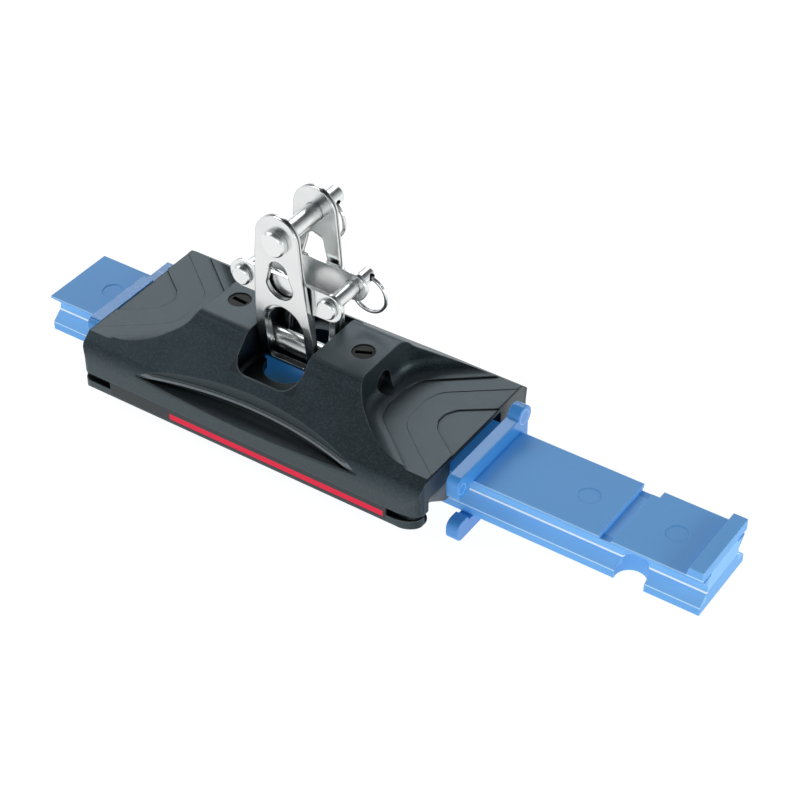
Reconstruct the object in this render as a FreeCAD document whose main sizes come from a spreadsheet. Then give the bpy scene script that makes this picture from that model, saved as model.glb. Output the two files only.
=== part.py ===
# Mainsheet traveller car: a captive-ball car with a stand-up toggle and control tangs,
# held between two snap stops on its loading rail.
# X runs along the rail, Y across it and Z up.  The origin lies on the surface that the
# stops stand on, under the middle of the car.
import FreeCAD, Part
import math
import os
import Sketcher

os.makedirs("parts", exist_ok=True)
doc = FreeCAD.newDocument("traveller_car")


# Driving sizes, in millimetres
SIZES = (
    ("rail_length", 236.6, "loading rail, end to end"),
    ("rail_tail", 90.7, "rail to the left of the car's middle"),
    ("rail_width", 27.0, "rail, across its top"),
    ("rail_height", 13.3, "rail, top to bottom"),
    ("rail_edge", 0.6, "upright edge of the rail's top flange"),
    ("rail_waist", 4.2, "depth of the ball groove in each side"),
    ("waist_lean", 0.5, "ball groove, shallower at its wall's foot"),
    ("waist_rise", 6.0, "foot of the ball groove's wall, above the rail's bottom"),
    ("waist_height", 2.0, "ball groove's wall"),
    ("rail_foot", 2.9, "upright edge of the rail's lower flange"),
    ("car_lift", 2.3, "datum of the car and its fittings, above the rail's top"),
    ("foot_height", 5.4, "stop's lower jaw, under the rail"),
    ("notch_start", 203.5, "cross groove, from the rail's left end"),
    ("notch_width", 3.9, "cross groove, along the rail"),
    ("notch_depth", 1.8, "cross groove, below the rail's top"),
    ("lip_width", 5.4, "raised lip at the rail's right end"),
    ("lip_height", 3.0, "raised lip, above the rail's top"),
    ("scallop_start", 214.1, "finger scallop's middle, from the rail's left end"),
    ("scallop_radius", 4.95, "finger scallop in the rail's side"),
    ("slit_height", 0.8, "slit under the end tongue"),
    ("slit_depth", 5.5, "slit, in from the rail's side"),
    ("slit_length", 1.5, "slit, along the rail"),
    ("slit_drop", 0.9, "slit, below the rail's top"),
    ("mark_radius", 3.5, "round ejector mark"),
    ("mark_depth", 0.25, "ejector mark"),
    ("mark_inset", 15.0, "ejector mark, from the rail's left end"),
    ("stop_width", 4.2, "stop, along the rail"),
    ("stop_rise", 5.7, "stop's upper jaw, above the rail"),
    ("stop_reach", 8.3, "upper jaw, past the rail's front side"),
    ("stop_chin", 1.8, "upper jaw's snap nose, below the rail's top"),
    ("stop_nose", 6.4, "length of each snap nose"),
    ("stop_toe", 8.2, "lower jaw, past the rail's front side"),
    ("toe_rise", 1.6, "lower jaw's snap nose, above the rail's bottom"),
    ("stop_back", 3.4, "thickness of the stop's back"),
    ("stop_knob", 3.7, "radius of the thumb knob on the stop's back"),
    ("stop_round", 2.2, "rounding of the upper jaw's front end"),
    ("stop_fit", 0.1, "clearance between a stop and the rail"),
    ("left_gap", 0.15, "from the left stop to the car"),
    ("right_gap", 3.7, "from the car to the right stop"),
    ("car_length", 126.4, "car body, end to end"),
    ("car_width", 62.0, "car body, across"),
    ("car_rise", 16.0, "crest of the car, above the datum"),
    ("car_skirt", 15.0, "car's underside, below the datum"),
    ("crest_half", 11.5, "half the flat crest"),
    ("neck_half", 14.3, "half width where the steep neck ends"),
    ("neck_drop", 3.4, "height of the steep neck"),
    ("shoulder_drop", 16.6, "corner of shoulder and side, below the crest"),
    ("shoulder_radius", 8.5, "rounding of the shoulder"),
    ("crest_radius", 3.0, "rounding of the crest's edge"),
    ("corner_radius", 5.0, "upright corner of the body"),
    ("skirt_edge", 0.8, "chamfer along the underside"),
    ("rail_side_gap", 0.6, "between rail and leg"),
    ("rail_top_gap", 1.6, "between rail and the body's ceiling"),
    ("mouth_half", 11.6, "half width of the recess round the toggle"),
    ("mouth_reach", 20.7, "recess's rounded end, from the middle"),
    ("mouth_round", 5.6, "corner of the recess"),
    ("mouth_floor", 4.2, "recess's floor, above the datum"),
    ("slot_half", 11.2, "half width of the slot in the recess's floor"),
    ("slot_reach", 14.8, "slot's end, from the middle"),
    ("slot_round", 7.8, "corner of the slot"),
    ("slot_sink", 0.5, "slot's cut, below the ceiling of the rail space"),
    ("scoop_nose", 29.8, "scoop's rim on the crest, from the middle"),
    ("scoop_floor", 4.1, "scoop's floor, above the datum"),
    ("scoop_flare", 0.82, "how much each side of the scoop opens for its length"),
    ("scoop_overrun", 2.6, "cut of the scoop, past the car's end"),
    ("terrace_step", 0.25, "drop of each of the two outer terraces"),
    ("tongue_step", 0.45, "drop of the tongue's floor"),
    ("crescent_radius", 141.0, "plan curve of the side crescent"),
    ("crescent_rim", 24.3, "crescent's upper rim, from the middle"),
    ("ball_size", 6.35, "bearing ball"),
    ("ball_pitch", 6.4, "from ball to ball"),
    ("ball_drop", 9.4, "ball's middle, below the datum"),
    ("ball_set", 1.0, "ball's middle, behind the leg's face"),
    ("ball_fit", 0.12, "clearance round a ball"),
    ("guide_length", 9.0, "return guide, along the rail"),
    ("guide_width", 11.0, "return guide, across"),
    ("guide_height", 9.6, "return guide, upright"),
    ("guide_fit", 0.1, "clearance round a return guide"),
    ("label_length", 104.0, "side label"),
    ("label_height", 4.4, "side label"),
    ("label_thick", 0.8, "side label"),
    ("label_drop", 9.1, "label's upper edge, below the datum"),
    ("label_fit", 0.05, "clearance round a label"),
    ("groove_height", 2.9, "side groove"),
    ("groove_depth", 2.0, "side groove"),
    ("groove_return", 9.0, "side groove, round the corner"),
    ("shaft_size", 7.0, "pivot shaft"),
    ("shaft_rise", 7.8, "pivot shaft's axis, above the datum"),
    ("shaft_inset", 0.8, "shaft's end, inside the scoop's rim"),
    ("shaft_fit", 0.05, "clearance round the shaft"),
    ("screw_size", 7.2, "set screw"),
    ("screw_inset", 6.6, "set screw, inside the scoop's rim"),
    ("screw_sink", 0.35, "set screw's head, below the crest"),
    ("screw_fit", 0.08, "clearance round a set screw"),
    ("screw_slot", 1.4, "driver slot, width"),
    ("screw_slot_deep", 1.4, "driver slot, depth"),
    ("tang_thick", 1.4, "tang strap"),
    ("strap_thick", 1.8, "toggle strap"),
    ("strap_fit", 0.05, "between the nested straps"),
    ("strap_half", 10.6, "half width of the toggle strap at the shaft"),
    ("strap_head", 9.4, "radius of the toggle strap's head"),
    ("knee_rise", 16.2, "where the straps end their flare, above the shaft"),
    ("knee_half", 5.7, "tang plate's inner face, from the middle"),
    ("elbow_rise", 36.2, "where the toggle plates turn upright, above the shaft"),
    ("elbow_half", 8.5, "toggle plate's inner face, from the middle"),
    ("window_half", 7.2, "half width of the lower window"),
    ("window_sill", 2.3, "lower window's sill, below the shaft's axis"),
    ("window_top", 20.8, "lower window's crown, above the shaft's axis"),
    ("egg_low_radius", 4.9, "egg window, lower round"),
    ("egg_top_radius", 3.3, "egg window, upper round"),
    ("egg_low", 28.5, "egg window's lower round, above the shaft"),
    ("egg_top", 34.3, "egg window's upper round, above the shaft"),
    ("main_rise", 44.9, "main pin, above the shaft"),
    ("main_size", 6.0, "main pin"),
    ("main_head", 8.4, "main pin's head"),
    ("main_head_thick", 2.4, "main pin's head"),
    ("main_tail", 10.1, "main pin, past the toggle's back plate"),
    ("main_hole", 6.2, "main ring's hole, past the back plate"),
    ("tang_rise", 25.4, "tang pins, above the shaft"),
    ("tang_place", 15.6, "tang pin, from the middle"),
    ("tang_round", 4.8, "round end of the tang strap's ears"),
    ("tang_stem", 9.6, "half width of the tang strap's stem"),
    ("tang_size", 4.8, "tang pin"),
    ("tang_head", 6.6, "tang pin's head"),
    ("tang_head_thick", 1.6, "tang pin's head"),
    ("tang_tail", 7.4, "tang pin, past the back tang"),
    ("tang_hole", 5.3, "tang ring's hole, past the back tang"),
    ("pin_fit", 0.06, "clearance round a clevis pin"),
    ("main_ring", 7.4, "main ring, middle of the wire"),
    ("main_wire", 0.65, "main ring, wire radius"),
    ("tang_ring", 6.2, "tang ring, middle of the wire"),
    ("tang_wire", 0.6, "tang ring, wire radius"),
    ("ring_fit", 0.25, "clearance round a ring's wire"),
    ("main_turn", 17.0, "main pin, turned about its axis as it hangs, degrees"),
    ("tang_turn", 11.0, "right tang pin, turned the other way, degrees"),
)


class Size:
    """A length together with the sheet expression that it comes from."""

    def __init__(self, value, text=None):
        self.value = float(value)
        self.text = text if text is not None else repr(float(value))

    def joined(self, other, sign, value):
        return Size(value, "(" + self.text + " " + sign + " " + other.text + ")")

    def __add__(self, other):
        other = sized(other)
        return self.joined(other, "+", self.value + other.value)

    def __radd__(self, other):
        return sized(other) + self

    def __sub__(self, other):
        other = sized(other)
        return self.joined(other, "-", self.value - other.value)

    def __rsub__(self, other):
        return sized(other) - self

    def __mul__(self, other):
        other = sized(other)
        return self.joined(other, "*", self.value * other.value)

    def __rmul__(self, other):
        return sized(other) * self

    def __truediv__(self, other):
        other = sized(other)
        return self.joined(other, "/", self.value / other.value)

    def __neg__(self):
        return Size(0.0) - self


def sized(value):
    return value if isinstance(value, Size) else Size(value)


class Sizes:
    """The named sizes of the sheet, read as attributes."""


def write_sheet():
    sheet = doc.addObject("Spreadsheet::Sheet", "Sizes")
    named = Sizes()
    for row, (name, value, note) in enumerate(SIZES, start=1):
        sheet.set("A%d" % row, name)
        sheet.set("B%d" % row, repr(value))
        sheet.set("C%d" % row, note)
        sheet.setAlias("B%d" % row, name)
        setattr(named, name, Size(value, "Sizes." + name))
    doc.recompute()
    return named


d = write_sheet()


# Helpers for bound properties and sketches
def bind(thing, prop, value):
    thing.setExpression(prop, sized(value).text)


def place(thing, x=None, y=None, z=None):
    """Binds an object's place."""
    for letter, value in (("x", x), ("y", y), ("z", z)):
        if value is not None:
            bind(thing, "Placement.Base." + letter, value)


def new_body(name):
    body = doc.addObject("PartDesign::Body", name)
    body.Label = name
    return body


def origin_plane(body, role):
    for feature in body.Origin.OriginFeatures:
        if feature.Role == role:
            return feature
    raise RuntimeError("no plane " + role)


def sketch_in(body, name, role, offset=None):
    """A sketch on one of its body's origin planes, moved along the plane's normal."""
    sketch = body.newObject("Sketcher::SketchObject", name)
    sketch.AttachmentSupport = (origin_plane(body, role), [""])
    sketch.MapMode = "FlatFace"
    if offset is not None:
        bind(sketch, "AttachmentOffset.Base.z", offset)
    return sketch


UPRIGHT = {
    "XY": FreeCAD.Rotation(0, 0, 0),
    "XZ": FreeCAD.Rotation(FreeCAD.Vector(1, 0, 0), 90),
    "YZ": FreeCAD.Rotation(FreeCAD.Vector(1, 1, 1), 120),
}


def free_sketch(name, plane):
    sketch = doc.addObject("Sketcher::SketchObject", name)
    sketch.Placement = FreeCAD.Placement(FreeCAD.Vector(), UPRIGHT[plane])
    return sketch


def pin_length(sketch, kind, geo, pos, value):
    value = sized(value)
    index = sketch.addConstraint(Sketcher.Constraint(kind, -1, 1, geo, pos, value.value))
    sketch.setExpression("Constraints[%d]" % index, value.text)


def pin_point(sketch, geo, pos, u, v):
    """Fixes a point of a sketch from the sketch's origin."""
    if isinstance(u, Size):
        pin_length(sketch, "DistanceX", geo, pos, u)
    else:
        sketch.addConstraint(Sketcher.Constraint("PointOnObject", geo, pos, -2))
    if isinstance(v, Size):
        pin_length(sketch, "DistanceY", geo, pos, v)
    else:
        sketch.addConstraint(Sketcher.Constraint("PointOnObject", geo, pos, -1))


def arc_between(start, end, radius, turn):
    """Short arc from start to end; turn is 1 when it runs anticlockwise, else -1."""
    chord = end - start
    reach = math.sqrt(max(radius * radius - chord.Length ** 2 / 4.0, 0.0))
    side = FreeCAD.Vector(-chord.y, chord.x, 0).normalize()
    centre = (start + end) * 0.5 + side * (reach * turn)
    circle = Part.Circle(centre, FreeCAD.Vector(0, 0, 1), radius)
    first, last = (start, end) if turn > 0 else (end, start)
    return Part.ArcOfCircle(circle, circle.parameter(first), circle.parameter(last))


def plain(value):
    return value.value if isinstance(value, Size) else float(value)


def draw(sketch, points, bends=None):
    """Closed outline through the points.  bends gives, by the number of a point, the
    radius and turn of the arc that leaves it; without a radius it is a half round."""
    bends = bends or {}
    spots = [FreeCAD.Vector(plain(u), plain(v), 0) for u, v in points]
    count = len(spots)
    heads = []
    tails = []
    for number in range(count):
        after = (number + 1) % count
        start = spots[number]
        end = spots[after]
        if number not in bends:
            geo = sketch.addGeometry(Part.LineSegment(start, end), False)
            heads.append((geo, 1))
            tails.append((geo, 2))
            continue
        radius, turn = bends[number]
        bow = (end - start).Length / 2 if radius is None else plain(radius)
        geo = sketch.addGeometry(arc_between(start, end, bow, turn), False)
        heads.append((geo, 1 if turn > 0 else 2))
        tails.append((geo, 2 if turn > 0 else 1))
        if radius is None:
            pin_middle(sketch, geo, points[number], points[after])
        else:
            index = sketch.addConstraint(Sketcher.Constraint("Radius", geo, bow))
            sketch.setExpression("Constraints[%d]" % index, sized(radius).text)
    for number in range(count):
        geo, pos = tails[number]
        after, after_pos = heads[(number + 1) % count]
        sketch.addConstraint(Sketcher.Constraint("Coincident", geo, pos, after, after_pos))
    for number, (u, v) in enumerate(points):
        geo, pos = heads[number]
        pin_point(sketch, geo, pos, u, v)


def pin_middle(sketch, geo, start, end):
    """Keeps a half round's centre on the line between its ends."""
    across = abs(plain(end[0]) - plain(start[0]))
    upward = abs(plain(end[1]) - plain(start[1]))
    axis = 1 if across > upward else 0
    middle = (sized(start[axis]) + sized(end[axis])) / 2
    if abs(middle.value) < 1e-9:
        sketch.addConstraint(Sketcher.Constraint("PointOnObject", geo, 3, -1 if axis else -2))
    else:
        pin_length(sketch, "DistanceY" if axis else "DistanceX", geo, 3, middle)


def draw_circle(sketch, u, v, radius):
    centre = FreeCAD.Vector(plain(u), plain(v), 0)
    geo = sketch.addGeometry(Part.Circle(centre, FreeCAD.Vector(0, 0, 1), plain(radius)), False)
    index = sketch.addConstraint(Sketcher.Constraint("Radius", geo, plain(radius)))
    sketch.setExpression("Constraints[%d]" % index, sized(radius).text)
    pin_point(sketch, geo, 3, u, v)


def draw_box(sketch, u_low, u_high, v_low, v_high):
    draw(sketch, [(u_low, v_low), (u_high, v_low), (u_high, v_high), (u_low, v_high)])


def draw_rounded(sketch, half, reach, radius):
    """Rectangle about the middle, half wide to each side and reach long, with round corners."""
    draw(sketch, [
        (-half + radius, -reach), (half - radius, -reach), (half, -reach + radius),
        (half, reach - radius), (half - radius, reach), (-half + radius, reach),
        (-half, reach - radius), (-half, -reach + radius),
    ], {1: (radius, 1), 3: (radius, 1), 5: (radius, 1), 7: (radius, 1)})


def pad(body, sketch, name, length, backwards=False):
    feature = body.newObject("PartDesign::Pad", name)
    feature.Profile = (sketch, [""])
    bind(feature, "Length", length)
    feature.Reversed = backwards
    doc.recompute()
    return feature


def pocket(body, sketch, name, length, backwards=False):
    before = body.Shape.Volume
    feature = body.newObject("PartDesign::Pocket", name)
    feature.Profile = (sketch, [""])
    bind(feature, "Length", length)
    feature.Reversed = backwards
    doc.recompute()
    if body.Shape.Volume >= before:
        raise RuntimeError(name + " cuts nothing")
    return feature


def mirrored(body, feature, name, role):
    before = body.Shape.Volume
    twin = body.newObject("PartDesign::Mirrored", name)
    twin.Originals = [feature]
    twin.MirrorPlane = (origin_plane(body, role), [""])
    body.Tip = twin
    doc.recompute()
    if abs(body.Shape.Volume - before) < 1e-6:
        raise RuntimeError(name + " changes nothing")
    return twin


def edges_along_x(body, spots):
    """Names of the body's edges that run along X through the given (y, z) spots."""
    names = []
    for number, edge in enumerate(body.Shape.Edges, start=1):
        first = edge.Vertexes[0].Point
        last = edge.Vertexes[-1].Point
        if abs(first.x - last.x) < 1.0 or abs(first.y - last.y) + abs(first.z - last.z) > 1e-4:
            continue
        for y, z in spots:
            if abs(first.y - y) < 1e-3 and abs(first.z - z) < 1e-3:
                names.append("Edge%d" % number)
                break
    return names


def dress(body, kind, name, edges, prop, value):
    """A fillet or chamfer on named edges of the body as it stands."""
    if not edges:
        raise RuntimeError(name + " finds no edge")
    base = body.Tip
    feature = body.newObject("PartDesign::" + kind, name)
    feature.Base = (base, edges)
    bind(feature, prop, value)
    body.Tip = feature
    doc.recompute()
    return feature


def extrusion(name, sketch, length, symmetric=True):
    solid = doc.addObject("Part::Extrusion", name)
    solid.Base = sketch
    solid.DirMode = "Normal"
    bind(solid, "LengthFwd", length)
    solid.Symmetric = symmetric
    solid.Solid = True
    return solid


def boolean(kind, name, base, tool):
    result = doc.addObject("Part::" + kind, name)
    result.Base = base
    result.Tool = tool
    return result


nodes = []


def keep(thing, label):
    thing.Label = label
    nodes.append(thing)
    return thing


# Heights and widths that several pieces share
rail_base = d.foot_height
rail_top = rail_base + d.rail_height
datum = rail_top + d.car_lift
rail_half = d.rail_width / 2
crest = datum + d.car_rise
skirt = datum - d.car_skirt
ceiling = datum + d.rail_top_gap
car_half = d.car_width / 2
car_end = d.car_length / 2
leg_half = rail_half + d.rail_side_gap
ball_height = datum - d.ball_drop
ball_half = leg_half + d.ball_set
shaft_height = datum + d.shaft_rise
screw_place = d.scoop_nose - d.screw_inset


# Loading rail
def make_rail():
    body = new_body("loading_rail")
    place(body, x=-d.rail_tail, z=rail_base)
    top = d.rail_height
    edge = top - d.rail_edge
    waist = rail_half - d.rail_waist
    waist_foot = waist + d.waist_lean
    waist_low = d.waist_rise
    waist_high = waist_low + d.waist_height
    profile = sketch_in(body, "rail_section", "YZ_Plane")
    draw(profile, [
        (-rail_half, 0), (rail_half, 0), (rail_half, d.rail_foot), (waist_foot, waist_low),
        (waist, waist_high), (rail_half, edge), (rail_half, top), (-rail_half, top),
        (-rail_half, edge), (-waist, waist_high), (-waist_foot, waist_low), (-rail_half, d.rail_foot),
    ])
    pad(body, profile, "rail_bar", d.rail_length)

    cross = sketch_in(body, "cross_groove_shape", "XZ_Plane", d.rail_width)
    draw_box(cross, d.notch_start, d.notch_start + d.notch_width, top - d.notch_depth, top + 1)
    pocket(body, cross, "cross_groove", d.rail_width * 2)

    lip = sketch_in(body, "end_lip_shape", "XZ_Plane", -rail_half)
    draw(lip, [
        (d.rail_length - d.lip_width, top - 0.5), (d.rail_length, top - 0.5),
        (d.rail_length, top + d.lip_height), (d.rail_length - d.lip_width + 0.8, top + d.lip_height),
    ])
    pad(body, lip, "end_lip", d.rail_width)

    scallop = sketch_in(body, "scallop_shape", "XY_Plane")
    draw_circle(scallop, d.scallop_start, -rail_half + d.scallop_radius * 0.25, d.scallop_radius)
    pocket(body, scallop, "scallop", waist_high, backwards=True)

    notch = sketch_in(body, "back_notch_shape", "XY_Plane", top + 1)
    draw_box(notch, d.notch_start + d.notch_width - 0.1, d.notch_start + d.notch_width + 2.6,
             rail_half - 2.8, rail_half + 1)
    pocket(body, notch, "back_notch", d.notch_depth + 1)

    slit_top = top - d.slit_drop
    slit_low = slit_top - d.slit_height
    for side, low, high in (("front", -rail_half - 1, -rail_half + d.slit_depth),
                            ("back", rail_half - d.slit_depth, rail_half + 1)):
        slit = sketch_in(body, "slit_shape_" + side, "YZ_Plane", d.rail_length)
        draw_box(slit, low, high, slit_low, slit_top)
        pocket(body, slit, "slit_" + side, d.slit_length)

    marks = sketch_in(body, "ejector_marks_shape", "XY_Plane", top)
    for spot in (d.mark_inset, d.notch_start - d.mark_inset + 4.4, d.rail_length - 15.1):
        draw_circle(marks, spot, 0, d.mark_radius)
    pocket(body, marks, "ejector_marks", d.mark_depth)
    keep(body, "loading_rail")


# Snap stops, one each side of the car
def make_stop(label, left_face):
    body = new_body(label)
    place(body, x=left_face)
    front = -rail_half
    gap = d.stop_fit
    low = rail_base - gap
    high = rail_top + gap
    inner = rail_half + gap
    back = inner + d.stop_back
    toe = front - d.stop_toe
    tip = front - d.stop_reach
    nose = rail_top - d.stop_chin
    lower_nose = rail_base + d.toe_rise
    ridge = rail_top + d.stop_rise
    knob = d.stop_knob
    knob_middle = back - knob * 0.6
    knob_height = ridge - knob * 0.243
    profile = sketch_in(body, label + "_shape", "YZ_Plane")
    draw(profile, [
        (toe + d.foot_height / 2, 0), (back, 0), (back, knob_height - knob * 0.8),
        (knob_middle + knob, knob_height), (knob_middle, knob_height + knob),
        (knob_middle - knob * 0.97, ridge), (tip + d.stop_round, ridge),
        (tip, ridge - d.stop_round), (tip, nose + d.stop_round / 2),
        (tip + d.stop_round / 2, nose), (tip + d.stop_nose, nose),
        (tip + d.stop_nose, high), (inner, high), (inner, low), (toe + d.stop_nose, low),
        (toe + d.stop_nose - 0.8, lower_nose), (toe + d.foot_height / 2, lower_nose),
        (toe, lower_nose - d.foot_height / 2), (toe, d.foot_height / 2),
    ], {2: (knob, 1), 3: (knob, 1), 4: (knob, 1), 6: (d.stop_round, 1), 8: (d.stop_round / 2, 1),
        16: (d.foot_height / 2, 1), 18: (d.foot_height / 2, 1)})
    pad(body, profile, label + "_bar", d.stop_width)
    keep(body, label)


# Car body
def scoop_sections():
    """Half outlines of the end scoop, each at a height above the datum.  The first
    number of a point is measured from the rim's nose and the second from the middle."""
    levels = (
        (d.scoop_floor, 5.2, 5.0, 3.2),
        (Size(5.6), 2.9, 7.0, 3.4),
        (Size(8.5), 1.4, 8.5, 3.4),
        (d.car_rise + 1, 0.0, 9.0, 3.6),
    )
    reach = car_end - d.scoop_nose + d.scoop_overrun
    sections = []
    for rise, nose, half, bevel in levels:
        first = (nose, half)
        second = (first[0] + 1.12, first[1] + 4.0)
        third = (second[0] + 0.75 * bevel, second[1] + bevel)
        last = (reach, third[1] + d.scoop_flare * (reach - third[0]))
        sections.append((rise, (first, second, third, last)))
    return sections


def make_scoop(body):
    sketches = []
    for number, (rise, half) in enumerate(scoop_sections(), start=1):
        outline = [(d.scoop_nose + along, sized(across)) for along, across in half]
        outline += [(d.scoop_nose + along, -sized(across)) for along, across in reversed(half)]
        sketch = sketch_in(body, "scoop_level_%d" % number, "XY_Plane", datum + rise)
        draw(sketch, outline)
        sketches.append(sketch)
    before = body.Shape.Volume
    loft = body.newObject("PartDesign::SubtractiveLoft", "scoop")
    loft.Profile = (sketches[0], [""])
    loft.Sections = [(sketch, [""]) for sketch in sketches[1:]]
    loft.Ruled = True
    doc.recompute()
    if body.Shape.Volume >= before:
        raise RuntimeError("the scoop cuts nothing")
    mirrored(body, loft, "scoop_twin", "YZ_Plane")


def make_terraces(body):
    steps = (
        ("terrace", 7.1, (0.0, 4.5), (1.6, 9.8), 0.81, d.terrace_step),
        ("inner_terrace", 13.0, (0.0, 3.5), (1.6, 8.6), 0.78, 2 * d.terrace_step),
        ("tongue", 21.6, (0.0, 1.8), (1.9, 5.4), 0.745, 2 * d.terrace_step + d.tongue_step),
    )
    for name, nose, first, second, flare, depth in steps:
        reach = car_end - d.scoop_nose - nose + d.scoop_overrun
        half = (first, second, (reach, second[1] + flare * (reach - second[0])))
        outline = [(d.scoop_nose + nose + along, sized(across)) for along, across in half]
        outline += [(d.scoop_nose + nose + along, -sized(across)) for along, across in reversed(half)]
        sketch = sketch_in(body, name + "_shape", "XY_Plane", datum + d.scoop_floor)
        draw(sketch, outline)
        mirrored(body, pocket(body, sketch, name, depth), name + "_twin", "YZ_Plane")


def make_crescent(body):
    """Finger crescent along the shoulder, turned about an upright axis far outside."""
    rim = -d.crescent_rim
    base = datum
    sketch = sketch_in(body, "crescent_shape", "YZ_Plane")
    draw(sketch, [
        (rim, base + 12.0), (rim - 0.2, base + 0.4), (rim - 1.0, base - 0.1), (rim - 1.2, base - 0.9),
        (rim - 0.5, base - 1.4), (rim - 0.8, base - 2.3), (rim - 3.2, base - 3.5),
        (rim - 6.7, base - 4.4), (rim - 14.0, base - 4.6), (rim - 14.0, base + 12.0),
    ])
    axis_place = rim - d.crescent_radius
    line = Part.LineSegment(FreeCAD.Vector(axis_place.value, 0, 0),
                            FreeCAD.Vector(axis_place.value, 10, 0))
    axis = sketch.addGeometry(line, True)
    pin_point(sketch, axis, 1, axis_place, 0)
    pin_point(sketch, axis, 2, axis_place, Size(10.0))
    before = body.Shape.Volume
    groove = body.newObject("PartDesign::Groove", "crescent")
    groove.Profile = (sketch, [""])
    groove.ReferenceAxis = (sketch, ["Axis0"])
    groove.Angle = 360.0
    doc.recompute()
    if body.Shape.Volume >= before:
        raise RuntimeError("the crescent cuts nothing")
    mirrored(body, groove, "crescent_twin", "XZ_Plane")


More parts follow.
